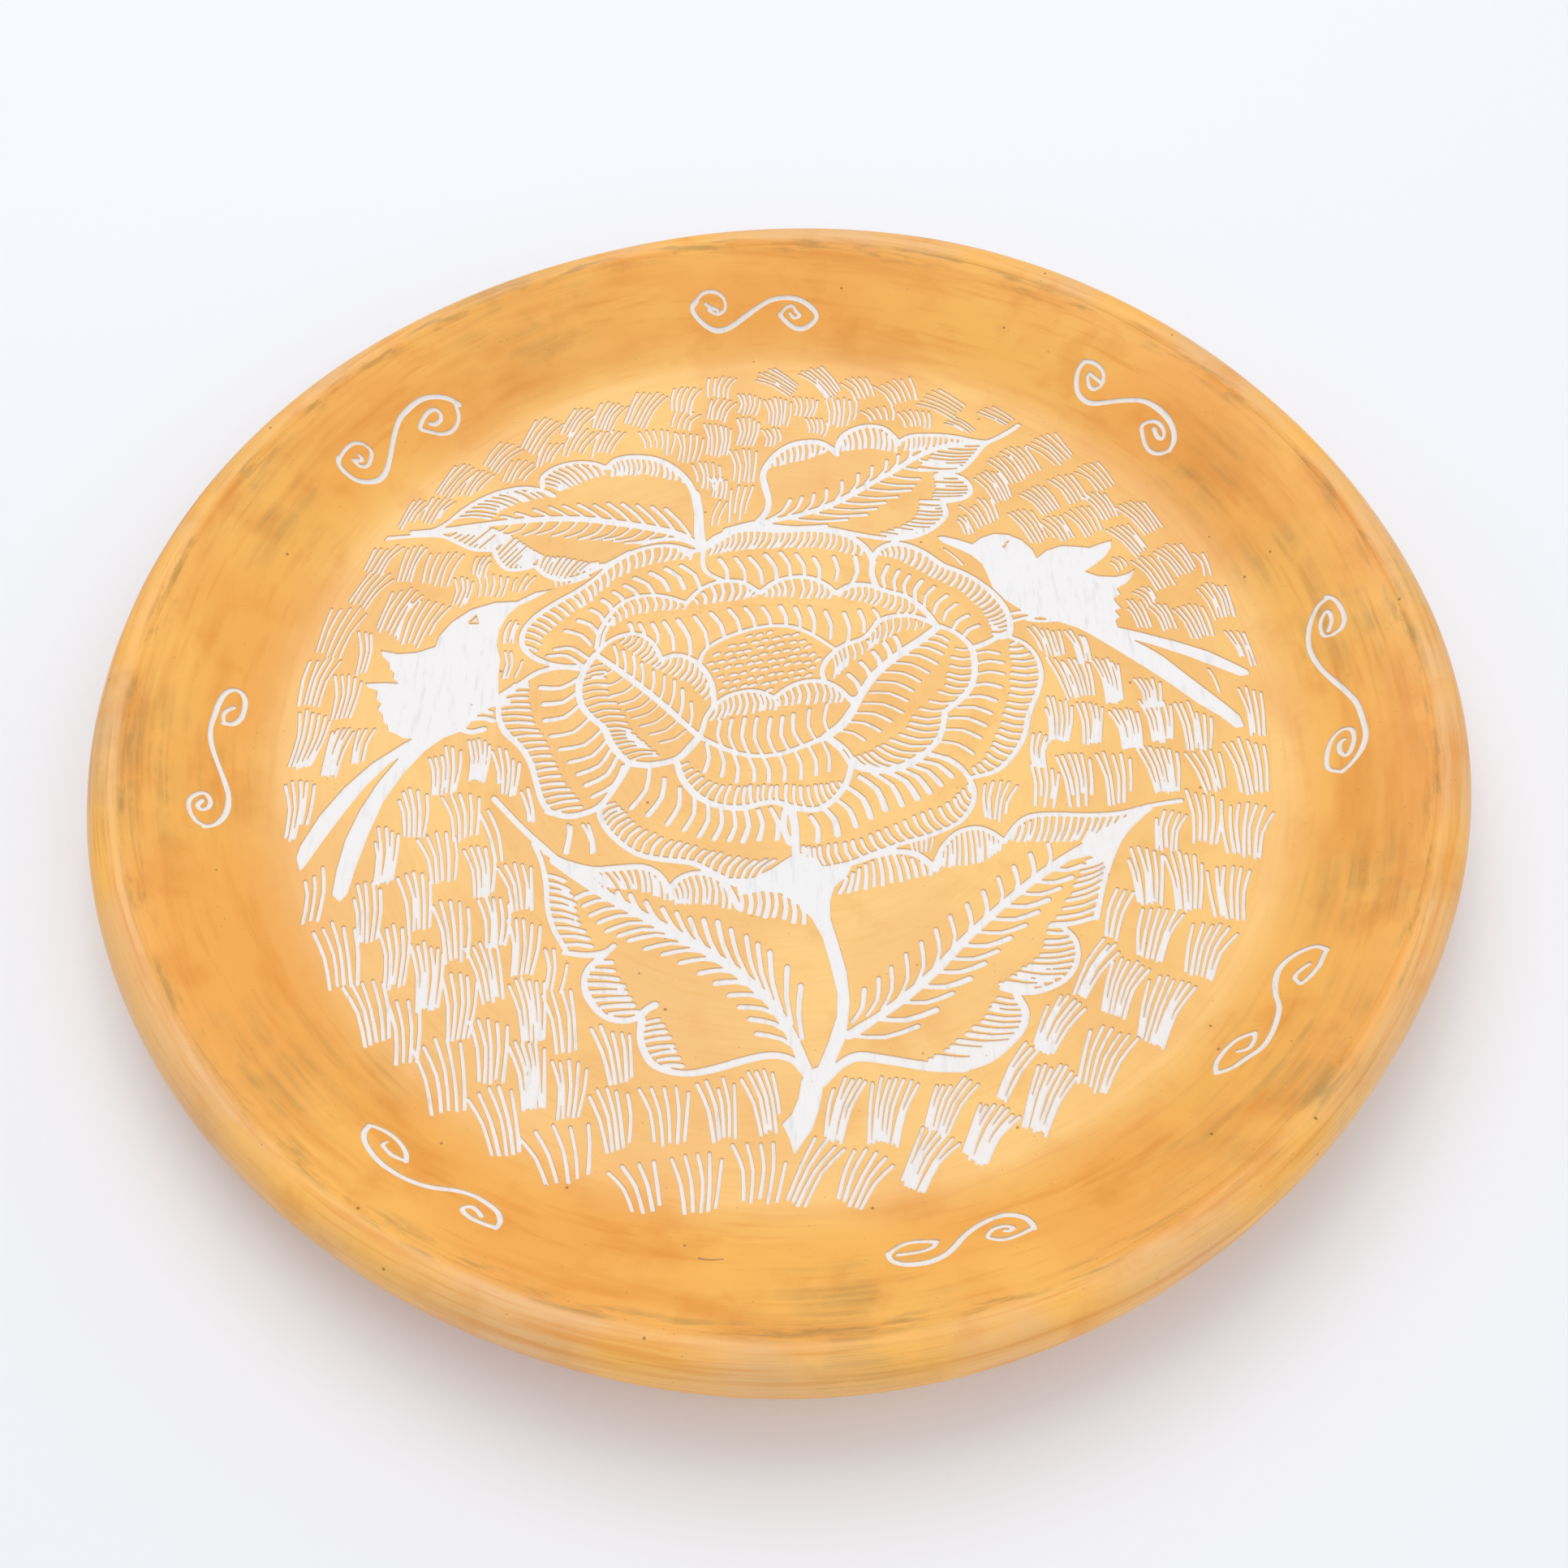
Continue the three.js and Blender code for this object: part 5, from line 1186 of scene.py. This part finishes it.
class Finish:
    """A short way to write a node material: each method adds a node and returns its output."""

    def __init__(self, name, roughness, specular=0.5):
        self.material = bpy.data.materials.new(name)
        self.material.use_nodes = True
        self.tree = self.material.node_tree
        self.shader = self.tree.nodes["Principled BSDF"]
        self.shader.inputs["Roughness"].default_value = roughness
        self.shader.inputs["Specular IOR Level"].default_value = specular
        self.place = self.node("ShaderNodeTexCoord").outputs["Object"]

    def node(self, kind, inputs=(), **settings):
        """A node with its settings, and with each input linked or set."""
        made = self.tree.nodes.new(kind)
        for key, value in settings.items():
            setattr(made, key, value)
        for socket, value in dict(inputs).items():
            if isinstance(value, bpy.types.NodeSocket):
                self.tree.links.new(value, made.inputs[socket])
            else:
                made.inputs[socket].default_value = value
        return made

    def speckle(self, size, detail=3.0, roughness=0.55, place=None):
        """Noise whose blotches are about a size in millimetres across."""
        inputs = {"Vector": place or self.place, "Scale": 1 / (size * MM), "Detail": detail,
                  "Roughness": roughness}
        return self.node("ShaderNodeTexNoise", inputs).outputs["Fac"]

    def band(self, value, low, high, to_low=0.0, to_high=1.0):
        """A value stretched smoothly from one range to another and held there."""
        inputs = {"Value": value, "From Min": low, "From Max": high, "To Min": to_low, "To Max": to_high}
        made = self.node("ShaderNodeMapRange", inputs, interpolation_type="SMOOTHSTEP")
        return made.outputs["Result"]

    def math(self, operation, a, b=0.0, c=0.0):
        return self.node("ShaderNodeMath", {0: a, 1: b, 2: c}, operation=operation).outputs[0]

    def blend(self, amount, a, b):
        """One colour laid over another by an amount."""
        made = self.node("ShaderNodeMix", {0: amount, 6: a, 7: b}, data_type="RGBA")
        return made.outputs[2]

    def radius(self):
        """Distance from the plate's axis, in metres."""
        flat = self.node("ShaderNodeVectorMath", {0: self.place, 1: (1, 1, 0)}, operation="MULTIPLY")
        return self.node("ShaderNodeVectorMath", {0: flat.outputs[0]}, operation="LENGTH").outputs["Value"]

    def streaks(self, width, turns, detail=3.0):
        """Noise drawn out round the plate, as a burnishing stone leaves it."""
        flat = self.node("ShaderNodeVectorMath", {0: self.place, 1: (1, 1, 0)}, operation="MULTIPLY")
        around = self.node("ShaderNodeVectorMath", {0: flat.outputs[0]}, operation="NORMALIZE")
        long = self.node("ShaderNodeVectorMath", {0: around.outputs[0], "Scale": turns}, operation="SCALE")
        height = self.node("ShaderNodeSeparateXYZ", {0: self.place}).outputs["Z"]
        across = self.math("MULTIPLY", self.math("SUBTRACT", self.radius(), height), 1 / (width * MM))
        up = self.node("ShaderNodeCombineXYZ", {"Z": across})
        place = self.node("ShaderNodeVectorMath", {0: long.outputs[0], 1: up.outputs[0]}, operation="ADD")
        inputs = {"Vector": place.outputs[0], "Scale": 1.0, "Detail": detail, "Roughness": 0.6}
        return self.node("ShaderNodeTexNoise", inputs).outputs["Fac"]

    def spots(self, spacing, size, kept):
        """Round specks a spacing apart, kept only in a share of the places."""
        inputs = {"Vector": self.place, "Scale": 1 / (spacing * MM)}
        cells = self.node("ShaderNodeTexVoronoi", inputs)
        dot = self.band(cells.outputs["Distance"], size / spacing, 0.4 * size / spacing)
        pick = self.node("ShaderNodeSeparateXYZ", {0: cells.outputs["Color"]}).outputs["X"]
        return self.math("MULTIPLY", dot, self.math("GREATER_THAN", pick, 1 - kept))

    def clouds(self, spots):
        """Soft patches at places given with their radius in millimetres."""
        total = None
        for x, y, z, reach in spots:
            centre = Vector((x, y, z)) * MM
            far = self.node("ShaderNodeVectorMath", {0: self.place, 1: centre}, operation="DISTANCE")
            soft = self.band(far.outputs["Value"], reach * MM, 0.0)
            total = soft if total is None else self.math("MAXIMUM", total, soft)
        return total

    def colour(self, value):
        self.tree.links.new(value, self.shader.inputs["Base Color"])

    def gloss(self, value):
        self.tree.links.new(value, self.shader.inputs["Roughness"])

    def grain(self, value, strength, distance):
        """Fine relief from a value, as deep as a distance in millimetres."""
        inputs = {"Strength": strength, "Distance": distance * MM, "Height": value}
        made = self.node("ShaderNodeBump", inputs)
        self.tree.links.new(made.outputs[0], self.shader.inputs["Normal"])


# Distances from the axis, in metres, between which the slip turns to the next part's tone.
WALL_TURN = (0.1, 0.117)
LIP_TURN = (0.1315, 0.1345)
BURNISH_TURN = (0.098, 0.118)
# CREASE_IN and CREASE_OUT bound the ring at the crease that is darkened as painted shade and pitting.
CREASE_IN = (0.1285, 0.1318)
CREASE_OUT = (0.1342, 0.1325)
# The outside begins under a cone: its rise with the radius, and its height on the axis.
OUTSIDE_CONE = (0.3, -0.0257)
OUTSIDE_TURN = (-0.004, 0.002)

# Deep and pale tones of the ochre: what each channel is multiplied by, or a factor and a lift.
DEEP_FLOOR, DEEP_WALL = (0.97, 0.92, 0.82), (0.93, 0.85, 0.66)
PALE_FLOOR, PALE_WALL = (1.05, 0.01), (1.04, 0.03)

# Smoke from the firing: place and reach of each cloud, in millimetres.
SMOKE_CLOUDS = (
    (97, 63, 14, 22), (108, 40, 16, 18), (-118, 52, 18, 24), (-127, -21, 21, 34), (-92, -84, 17, 24),
    (99, -88, 21, 34), (114, -48, 16, 22), (-66, 115, 21, 30), (-70, -78, 9, 16), (11, -130, 22, 26),
    (77, -100, 17, 26), (125, 20, 21, 30),
)


def times(value, factors):
    """A colour with each channel multiplied by its factor."""
    return srgb([c * f for c, f in zip(value, factors)])


def lifted(value, factor, lift):
    """A colour brightened by a factor and a lift, up to white."""
    return srgb([min(c * factor + lift, 1) for c in value])


def ochre_finish():
    """Burnished ochre slip: light on the floor, deeper and streaked on the wall, paler on the lip."""
    finish = Finish("burnished_ochre", 0.42, 0.42)
    look = colours()
    radius = finish.radius()
    wall = finish.band(radius, *WALL_TURN)
    lip = finish.band(radius, *LIP_TURN)
    base = finish.blend(wall, srgb(look.floor_ochre), srgb(look.wall_ochre))
    base = finish.blend(lip, base, srgb(look.rim_ochre))
    height = finish.node("ShaderNodeSeparateXYZ", {0: finish.place}).outputs["Z"]
    under = finish.math("SUBTRACT", finish.math("MULTIPLY_ADD", radius, *OUTSIDE_CONE), height)
    base = finish.blend(finish.band(under, *OUTSIDE_TURN), base, srgb(look.outer_ochre))
    deep = finish.blend(wall, times(look.floor_ochre, DEEP_FLOOR), times(look.wall_ochre, DEEP_WALL))
    pale = finish.blend(wall, lifted(look.floor_ochre, *PALE_FLOOR), lifted(look.wall_ochre, *PALE_WALL))
    burnish = finish.band(radius, *BURNISH_TURN, 0.25, 1.0)
    sheen = finish.streaks(3.2, 2.2)
    fine = finish.streaks(0.7, 5.0)
    tone = finish.blend(finish.band(finish.speckle(34, 2.0), 0.38, 0.66), base, pale)
    tone = finish.blend(finish.band(finish.speckle(13, 4.0), 0.5, 0.74, 0.0, 0.5), tone, deep)
    for noise_value, low, high, amount, laid in (
        (sheen, 0.5, 0.7, 0.6, deep),
        (fine, 0.52, 0.74, 0.5, deep),
        (finish.streaks(2.0, 3.4), 0.52, 0.7, 0.35, pale),
    ):
        streak = finish.math("MULTIPLY", finish.band(noise_value, low, high, 0.0, amount), burnish)
        tone = finish.blend(streak, tone, laid)
    thin = finish.band(finish.streaks(0.6, 2.6, 6.0), 0.4, 0.7, 0.1, 0.6)
    smoke = finish.math("MULTIPLY", finish.clouds(SMOKE_CLOUDS), thin)
    smoke = finish.math("MULTIPLY", smoke, finish.band(finish.speckle(9, 4.0), 0.35, 0.6, 0.15, 0.9))
    tone = finish.blend(finish.math("MULTIPLY", smoke, burnish), tone, srgb(look.smoke))
    # Painted shade in the crease where the wall meets the lip: a narrow ring darkened with the smoke colour
    # in broken streaks, which also stand for the crease's real pitting.
    crease = finish.math("MULTIPLY", finish.band(radius, *CREASE_IN), finish.band(radius, *CREASE_OUT))
    pitted_and_shaded = finish.band(finish.streaks(0.8, 12.0, 5.0), 0.48, 0.66, 0.0, 0.5)
    pits_and_crease_shade = finish.math("MULTIPLY", crease, pitted_and_shaded)
    tone = finish.blend(pits_and_crease_shade, tone, srgb(look.smoke))
    for spacing, size, kept, amount in ((5.5, 0.45, 0.22, 0.65), (1.6, 0.2, 0.16, 0.4)):
        dots = finish.math("MULTIPLY", finish.spots(spacing, size, kept), amount)
        tone = finish.blend(dots, tone, srgb(look.specks))
    finish.colour(tone)
    finish.gloss(finish.band(fine, 0.3, 0.8, 0.36, 0.52))
    sand = finish.math("MULTIPLY", finish.speckle(0.6), 0.35)
    finish.grain(finish.math("ADD", finish.math("MULTIPLY", sheen, 0.6), sand), 0.22, 0.12)
    return finish.material


def white_finish(name, warmth):
    """Chalky white slip with the scraper's faint grey drag marks and a trace of ochre."""
    finish = Finish(name, 0.62, 0.3)
    look = colours()
    dust = srgb([a + (b - a) * 0.35 for a, b in zip(look.white_slip, look.floor_ochre)])
    grey = srgb([c * 0.86 for c in look.white_slip])
    tone = finish.blend(finish.band(finish.speckle(1.1, 4.0), 0.45, 0.75, 0.1 * warmth, 0.55 * warmth),
                        srgb(look.white_slip), dust)
    stretched = finish.node("ShaderNodeMapping", {"Vector": finish.place, "Rotation": (0, 0, 0.6),
                                                  "Scale": (1, 0.16, 1)}).outputs[0]
    drag = finish.speckle(1.3, 4.0, 0.6, stretched)
    tone = finish.blend(finish.band(drag, 0.5, 0.78, 0.0, 0.5), tone, grey)
    tone = finish.blend(finish.math("MULTIPLY", finish.spots(6.0, 0.35, 0.1), 0.5), tone, srgb(look.specks))
    finish.colour(tone)
    finish.grain(finish.math("ADD", drag, finish.speckle(0.35)), 0.35, 0.08)
    return finish.material


def edge_finish():
    """The side of the slip along a cut: white slip mixed into the ochre and dimmed, partly a smear of white
    and partly painted shade along the cut's edge.
    """
    finish = Finish("cut_edge", 0.6, 0.3)
    look = colours()
    # The white and ochre shares add up to less than one, which dims the mix: painted shade on the cut's
    # side.
    smear_and_edge_shade = srgb([a * 0.45 + b * 0.42 for a, b in zip(look.white_slip, look.floor_ochre)])
    finish.colour(finish.blend(finish.band(finish.speckle(0.8), 0.35, 0.65), smear_and_edge_shade, srgb(look.floor_ochre)))
    finish.grain(finish.speckle(0.3), 0.3, 0.05)
    return finish.material


def clay_finish(name, base):
    """Bare low-fired clay with sand in it."""
    finish = Finish(name, 0.85, 0.25)
    darker = srgb([c * 0.82 for c in base])
    tone = finish.blend(finish.band(finish.speckle(9, 4.0), 0.35, 0.7), srgb(base), darker)
    tone = finish.blend(finish.band(finish.streaks(1.2, 4.0), 0.55, 0.75, 0.0, 0.5), tone, darker)
    tone = finish.blend(finish.spots(1.4, 0.35, 0.3), tone, srgb([c * 0.55 for c in base]))
    finish.colour(tone)
    finish.grain(finish.speckle(0.7, 5.0), 0.5, 0.25)
    return finish.material


@functools.cache
def finish_named(name):
    """The finish of a name, made once."""
    look = colours()
    if name == "burnished_ochre":
        return ochre_finish()
    if name == "white_slip_scraped":
        return white_finish(name, 0.45)
    if name == "white_slip_clean":
        return white_finish(name, 0.1)
    if name == "cut_edge":
        return edge_finish()
    return clay_finish(name, look.specks if name == "scorched_clay" else look.clay)


def hand_over(piece, materials, nodes=()):
    """Gives a piece its finishes and its body, and hides the frame's solids that it stands for."""
    for name in materials:
        piece.data.materials.append(finish_named(name))
    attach(piece, BODY)
    if nodes:
        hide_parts(*nodes)


# ---------------------------------------------------------------- settings a user can change

class PlateSizes(bpy.types.PropertyGroup):
    """Depths and smoothness of the plate."""

    coat: FloatProperty(
        name="Ochre coat", description="Thickness of the ochre slip", unit="LENGTH", default=0.42 * MM)
    cut: FloatProperty(
        name="Cut depth", description="How far down the cuts go", unit="LENGTH", default=0.34 * MM)
    slip: FloatProperty(
        name="White coat", description="Thickness of the white slip", unit="LENGTH", default=0.45 * MM)
    splay: FloatProperty(
        name="Cut splay", description="Lean of a cut's side", unit="LENGTH", default=0.09 * MM)
    hand_marks: FloatProperty(
        name="Hand marks", description="Height of the unevenness", unit="LENGTH", default=0.14 * MM)
    steps: IntProperty(
        name="Turning steps", description="Points round a turned piece", default=256)


class PlateColours(bpy.types.PropertyGroup):
    """Colours of the slips and the clay, as seen on screen."""

    floor_ochre: FloatVectorProperty(
        name="Floor ochre", description="Slip on the floor",
        subtype="COLOR_GAMMA", default=(0.97, 0.76, 0.455))
    wall_ochre: FloatVectorProperty(
        name="Wall ochre", description="Slip on the wall",
        subtype="COLOR_GAMMA", default=(0.98, 0.69, 0.32))
    rim_ochre: FloatVectorProperty(
        name="Rim ochre", description="Slip on the lip",
        subtype="COLOR_GAMMA", default=(0.95, 0.74, 0.49))
    outer_ochre: FloatVectorProperty(
        name="Outer ochre", description="Slip on the outside",
        subtype="COLOR_GAMMA", default=(0.94, 0.63, 0.28))
    # The smoke colour also darkens the crease between wall and lip, as painted shade and pitting.
    smoke: FloatVectorProperty(
        name="Smoke", description="Greenish fire clouds",
        subtype="COLOR_GAMMA", default=(0.63, 0.51, 0.28))
    specks: FloatVectorProperty(
        name="Specks", description="Iron specks in the slip",
        subtype="COLOR_GAMMA", default=(0.42, 0.27, 0.13))
    white_slip: FloatVectorProperty(
        name="White slip", description="Slip under the ochre",
        subtype="COLOR_GAMMA", default=(0.97, 0.965, 0.965))
    clay: FloatVectorProperty(
        name="Clay", description="Bare clay of the body",
        subtype="COLOR_GAMMA", default=(0.72, 0.50, 0.34))


def sizes():
    """The plate's depths, in metres, and its smoothness."""
    return bpy.context.scene.cut_slip_sizes


def colours():
    """The colours of the slips and the clay."""
    return bpy.context.scene.cut_slip_colours


# ---------------------------------------------------------------- one operator for each piece or group

class PLATE_OT_clay(bpy.types.Operator):
    """Turn the clay body: base, wall and lip"""

    bl_idname = "cut_slip.clay"
    bl_label = "Clay body"

    def execute(self, context):
        coats = (sizes().coat + sizes().slip) / MM + 2 * COAT_GAP
        skin = sizes().coat / MM + CLAY_GAP
        top = FLOOR_HEIGHT - coats - SLAB_GAP
        steps = sizes().steps
        section = [(0, top), (SLAB_TOP_RADIUS, top), SLAB_SIDE, *UNDERSIDE]
        base = turned("clay_base", section, steps, BASE_MARKS, False)
        hand_over(base, ["clay_body"], ["base_disc"])
        inner = offset(sampled(WALL_CURVE, CLAY_STEPS), coats)[3:]
        outer = offset(sampled(OUTSIDE_CURVE, CLAY_STEPS), skin)
        section = [(WALL_FOOT_RADIUS, top), *inner, *outer, (WALL_FOOT_RADIUS, WALL_FOOT_HEIGHT)]
        wall = turned("clay_wall", section, steps)
        hand_over(wall, ["clay_body"], ["wall_ring"])
        lip = turned("clay_lip", offset(sampled(LIP_CURVE, CLAY_LIP_STEPS), skin), steps)
        hand_over(lip, ["clay_body"], ["rim_lip"])
        return {"FINISHED"}


class PLATE_OT_white_slip(bpy.types.Operator):
    """Lay the white slip on the floor and the wall"""

    bl_idname = "cut_slip.white_slip"
    bl_label = "White slip"

    def execute(self, context):
        top = sizes().coat / MM + COAT_GAP
        low = top + sizes().slip / MM
        steps = sizes().steps
        edge = FLOOR_RADIUS - EDGE_GAP
        high, deep = FLOOR_HEIGHT - top, FLOOR_HEIGHT - low
        section = [(0, high), (edge, high), (edge, deep), (0, deep)]
        floor = turned("white_slip_floor", section, steps, 0.0, False)
        hand_over(floor, ["white_slip_clean"], ["white_slip_well"])
        wall = coat("white_slip_wall_coat", sampled(WALL_CURVE, CLAY_STEPS), top, low, steps)
        hand_over(wall, ["white_slip_clean"], ["white_slip_wall"])
        return {"FINISHED"}


def ochre_sheet(name, places, triangles, node):
    """The ochre slip that is left between the cuts, as a closed sheet with leaning edges."""
    kept = [t for t, cut in triangles if cut is None]
    piece = slab(name, places, kept, 0.0, sizes().coat / MM, sizes().splay / MM)
    # The sheet's sides take the cut_edge finish, whose dimmed colour is painted shade along the cuts.
    hand_over(piece, ["burnished_ochre", "cut_edge"], [node])


class PLATE_OT_ochre_floor(bpy.types.Operator):
    """Lay the ochre slip on the floor, open along every cut"""

    bl_idname = "cut_slip.ochre_floor"
    bl_label = "Ochre floor"

    def execute(self, context):
        ochre_sheet("ochre_floor", *floor_cuts(), "ochre_slip_well")
        return {"FINISHED"}


class PLATE_OT_ochre_wall(bpy.types.Operator):
    """Lay the ochre slip on the wall, open along every cut"""

    bl_idname = "cut_slip.ochre_wall"
    bl_label = "Ochre wall"

    def execute(self, context):
        ochre_sheet("ochre_wall", *wall_cuts(), "ochre_slip_wall")
        return {"FINISHED"}


class PLATE_OT_ochre_rim(bpy.types.Operator):
    """Lay the ochre slip over the lip and down the outside"""

    bl_idname = "cut_slip.ochre_rim"
    bl_label = "Ochre rim"

    def execute(self, context):
        deep = sizes().coat / MM
        marks = sizes().hand_marks / MM
        steps = sizes().steps
        lip = coat("ochre_lip", sampled(LIP_CURVE, LIP_STEPS), 0.0, deep, steps, marks)
        hand_over(lip, ["burnished_ochre"], ["ochre_slip_rim"])
        outside = coat("ochre_outside", sampled(OUTSIDE_CURVE, OUTSIDE_STEPS), 0.0, deep, steps, marks)
        hand_over(outside, ["burnished_ochre"], ["ochre_slip_outside"])
        return {"FINISHED"}


def cut_bottoms(places, triangles, names, depth):
    """The white floor of each named cut, as a thin closed sheet at its real depth."""
    for name in names:
        found = [t for t, cut in triangles if cut == name]
        if not found:
            raise RuntimeError(f"no cut was found for {name}")
        piece = slab(f"{name}_cut", places, found, depth, depth + CUT_SHEET)
        if name == SCRATCH:
            hand_over(piece, ["scorched_clay"] * 2)
        elif name in (GRASS, GRASS_OUTER):
            hand_over(piece, ["white_slip_scraped"] * 2)
        else:
            finish = "white_slip_clean" if name in CLEAN_MOTIFS else "white_slip_scraped"
            hand_over(piece, [finish] * 2, [name])


class PLATE_OT_floor_design(bpy.types.Operator):
    """Scrape the flower, stem, leaves, birds and grass down to the white slip"""

    bl_idname = "cut_slip.floor_design"
    bl_label = "Floor design"

    def execute(self, context):
        places, triangles = floor_cuts()
        cut_bottoms(places, triangles, [*MOTIFS, GRASS], sizes().cut / MM)
        return {"FINISHED"}


class PLATE_OT_wall_scrolls(bpy.types.Operator):
    """Scrape the wall's scrolls, the outer ends of the grass and the dark scratch"""

    bl_idname = "cut_slip.wall_scrolls"
    bl_label = "Wall scrolls"

    def execute(self, context):
        places, triangles = wall_cuts()
        cut_bottoms(places, triangles, [*SCROLLS, GRASS_OUTER, SCRATCH], sizes().cut / MM)
        return {"FINISHED"}


class PLATE_OT_stage(bpy.types.Operator):
    """Set the pale floor, the soft lights and the camera"""

    bl_idname = "cut_slip.stage"
    bl_label = "Stage"

    def execute(self, context):
        scene = context.scene
        make_floor()
        make_camera(scene)
        make_lights(scene)
        return {"FINISHED"}


# The stage, in metres: the paper's half width and height, the camera, and each light's place,
# size and power.
PAPER_HALF = 3.0
PAPER_ROWS = 24
PAPER_HEIGHT = -0.0002
PAPER_TONES = ((0.965, 0.972, 0.985), (0.975, 0.98, 0.99))
CAMERA_PLACE = (0, -0.1975, 0.29583)
CAMERA_AHEAD = (0.00199, 0.53204, -0.84672)
CAMERA_SENSOR = 36.0
CAMERA_ZOOM = 2010 / 1932
CAMERA_FAR = 20
SKY_COLOUR = (0.95, 0.965, 1.0, 1.0)
SKY_STRENGTH = 0.6
LIGHTS = (
    ("key_light", (-0.2, 0.7, 1.3), 1.1, 8.6),
    ("fill_light", (0.7, -0.8, 1.1), 1.2, 4.2),
)


def make_floor():
    """A pale sheet of paper that the plate rests on."""
    steps = [-PAPER_HALF + 2 * PAPER_HALF * i / PAPER_ROWS for i in range(PAPER_ROWS + 1)]
    verts = [Vector((x, y, PAPER_HEIGHT)) for y in steps for x in steps]
    wide = len(steps)
    corners = [j * wide + i for j in range(PAPER_ROWS) for i in range(PAPER_ROWS)]
    faces = [[c, c + 1, c + wide + 1, c + wide] for c in corners]
    floor = new_piece("paper_floor", verts, faces)
    finish = Finish("pale_paper", 0.9, 0.1)
    pale, paler = [srgb(tone) for tone in PAPER_TONES]
    finish.colour(finish.blend(finish.speckle(300, 2.0), pale, paler))
    floor.data.materials.append(finish.material)


def make_camera(scene):
    """The camera stands in front of the plate and looks down at it."""
    data = bpy.data.cameras.new("camera")
    data.sensor_width = CAMERA_SENSOR
    data.lens = CAMERA_SENSOR * CAMERA_ZOOM
    data.clip_end = CAMERA_FAR
    camera = bpy.data.objects.new("camera", data)
    scene.collection.objects.link(camera)
    camera.location = CAMERA_PLACE
    camera.rotation_euler = Vector(CAMERA_AHEAD).to_track_quat("-Z", "Y").to_euler()
    scene.camera = camera


def make_lights(scene):
    """An even bright room, a large soft light behind the plate and a weaker one in front."""
    world = bpy.data.worlds.new("bright_room")
    world.use_nodes = True
    sky = world.node_tree.nodes["Background"]
    sky.inputs["Color"].default_value = SKY_COLOUR
    sky.inputs["Strength"].default_value = SKY_STRENGTH
    scene.world = world
    scene.view_settings.view_transform = "Standard"
    for name, place, size, power in LIGHTS:
        data = bpy.data.lights.new(name, "AREA")
        data.size = size
        data.energy = power
        lamp = bpy.data.objects.new(name, data)
        lamp.location = place
        lamp.rotation_euler = (-Vector(place)).to_track_quat("-Z", "Y").to_euler()
        scene.collection.objects.link(lamp)


class PLATE_PT_sidebar(bpy.types.Panel):
    """The plate's settings and pieces"""

    bl_idname = "PLATE_PT_sidebar"
    bl_label = "Cut slip plate"
    bl_space_type = "VIEW_3D"
    bl_region_type = "UI"
    bl_category = "Plate"

    def draw(self, context):
        layout = self.layout
        for settings in (sizes(), colours()):
            box = layout.box()
            for key in settings.__annotations__:
                box.prop(settings, key)
        for operator in OPERATORS:
            layout.operator(operator.bl_idname)


OPERATORS = (
    PLATE_OT_stage, PLATE_OT_clay, PLATE_OT_white_slip, PLATE_OT_ochre_floor, PLATE_OT_ochre_wall,
    PLATE_OT_ochre_rim, PLATE_OT_floor_design, PLATE_OT_wall_scrolls,
)
CLASSES = (PlateSizes, PlateColours, *OPERATORS, PLATE_PT_sidebar)


def register():
    for cls in CLASSES:
        bpy.utils.register_class(cls)
    bpy.types.Scene.cut_slip_sizes = PointerProperty(type=PlateSizes)
    bpy.types.Scene.cut_slip_colours = PointerProperty(type=PlateColours)


def unregister():
    del bpy.types.Scene.cut_slip_colours
    del bpy.types.Scene.cut_slip_sizes
    for cls in reversed(CLASSES):
        bpy.utils.unregister_class(cls)


def main():
    """Makes the whole plate."""
    register()
    bpy.ops.cut_slip.stage()
    bpy.ops.cut_slip.clay()
    bpy.ops.cut_slip.white_slip()
    bpy.ops.cut_slip.ochre_floor()
    bpy.ops.cut_slip.ochre_wall()
    bpy.ops.cut_slip.ochre_rim()
    bpy.ops.cut_slip.floor_design()
    bpy.ops.cut_slip.wall_scrolls()


if __name__ == "__main__":
    main()
